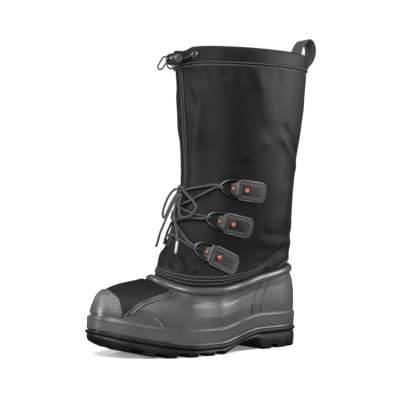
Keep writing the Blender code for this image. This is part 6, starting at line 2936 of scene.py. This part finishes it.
@dataclass
class Studio:
    """Pale floor, soft lights and the camera at the photograph's angle."""

    azimuth: float = math.radians(55.0)
    distance: float = 1.40
    height: float = 0.167
    focal_px: float = 1081.0
    image_height: float = 419.0
    image_width: float = 400.0
    horizon_px: float = 221.6
    middle_px: float = 197.3
    sensor: float = 36.0
    floor_size: float = 24.0
    dim: float = 0.04

    BOXES = (
        SoftBox("above", 0.20, 0.95, 1.60, 0.9, 0.6, 0.05, 4.0),
        SoftBox("key", -0.20, 1.30, 1.02, 0.8, 0.50, 0.05, 28.0),
        SoftBox("left", -1.40, 0.35, 0.60, 0.5, 0.9, 0.10, 18.0),
        SoftBox("right", 1.40, -0.20, 0.70, 0.5, 1.0, 0.20, 16.0),
    )

    def build(self) -> None:
        """Builds the stage."""
        self.place_camera()
        self.lay_floor()
        self.light()

    def place_camera(self) -> None:
        """Camera whose picture matches the photograph's measured horizon and middle."""
        right = Vector((math.cos(self.azimuth), math.sin(self.azimuth), 0.0))
        ahead = Vector((-math.sin(self.azimuth), math.cos(self.azimuth), 0.0))
        aside = (self.image_width / 2.0 - self.middle_px) / self.focal_px
        lift = (self.horizon_px - self.image_height / 2.0) / self.focal_px
        way = (ahead + right * aside + Vector((0.0, 0.0, 1.0)) * lift).normalized()
        deselect()
        spot = -ahead * self.distance + Vector((0.0, 0.0, self.height))
        bpy.ops.object.camera_add(location=spot)
        camera = bpy.context.object
        camera.name = "camera"
        camera.rotation_euler = way.to_track_quat("-Z", "Y").to_euler()
        camera.data.sensor_width = self.sensor
        camera.data.lens = self.focal_px * self.sensor / self.image_height
        camera.data.clip_end = 50.0
        bpy.context.scene.camera = camera

    def lay_floor(self) -> None:
        """White floor that reaches to the horizon; it glows with painted light, weak near the boot
        and full far from it.
        """
        deselect()
        bpy.ops.mesh.primitive_plane_add(size=self.floor_size)
        floor = bpy.context.object
        floor.name = "floor"
        paint = Paint("floor_finish")
        grain = paint.noise(3.0, 2.0)
        place = paint.add("ShaderNodeTexCoord", output="Object")
        reach = paint.add(
            "ShaderNodeVectorMath", {"operation": "LENGTH"}, {0: place}, output="Value"
        )
        # Painted light: the floor's glow is weak near the boot, where its shadow falls, and full
        # far from it.
        far = reach.smooth(0.25, 1.1)
        paint.set(
            Base_Color=paint.mix(grain, (0.80, 0.80, 0.80), (0.82, 0.82, 0.82)),
            Roughness=0.9 + grain * 0.05,
            Specular_IOR_Level=0.0,
            Emission_Color=paint.mix(far, (0.22, 0.22, 0.22), (1.1, 1.1, 1.1)),
            Emission_Strength=1.0,
        )
        floor.data.materials.append(paint.material)
        floor.visible_glossy = False

    def light(self) -> None:
        """White surroundings that light little, and soft boxes above and on both sides."""
        world = bpy.data.worlds.new("studio")
        world.use_nodes = True
        nodes, links = world.node_tree.nodes, world.node_tree.links
        back = nodes["Background"]
        back.inputs["Color"].default_value = (1.0, 1.0, 1.0, 1.0)
        path = nodes.new("ShaderNodeLightPath")
        share = nodes.new("ShaderNodeMapRange")
        share.inputs["To Min"].default_value = self.dim
        share.inputs["To Max"].default_value = 1.05
        links.new(path.outputs["Is Camera Ray"], share.inputs["Value"])
        links.new(share.outputs["Result"], back.inputs["Strength"])
        bpy.context.scene.world = world
        bpy.context.scene.view_settings.view_transform = "Standard"
        right = Vector((math.cos(self.azimuth), math.sin(self.azimuth), 0.0))
        near = Vector((math.sin(self.azimuth), -math.cos(self.azimuth), 0.0))
        for box in self.BOXES:
            spot = right * box.right + near * box.near + Vector((0.0, 0.0, box.height))
            deselect()
            bpy.ops.object.light_add(type="AREA", location=spot)
            lamp = bpy.context.object
            lamp.name = box.name
            lamp.data.shape = "RECTANGLE"
            lamp.data.size = box.width
            lamp.data.size_y = box.depth
            lamp.data.energy = box.radiance * math.pi * box.width * box.depth
            way = Vector((0.0, 0.0, box.aim)) - spot
            lamp.rotation_euler = way.to_track_quat("-Z", "Y").to_euler()


def main() -> None:
    """Builds every part of the scene in order."""
    logging.basicConfig(level=logging.INFO, format="%(name)s %(message)s")
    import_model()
    Studio().build()
    fittings = Fittings()
    fittings.build()
    Lacing(fittings).build()
    Collar().build()
    shell, shaft = RubberShell(), Shaft()
    shell.build()
    shaft.build()
    Outsole().build()
    ToeCap(shell).build()
    for side in Side:
        VampSeam(shell, side).build()
    VampPanel(shell).build()
    Sewing(shaft).build()


if __name__ == "__main__":
    main()
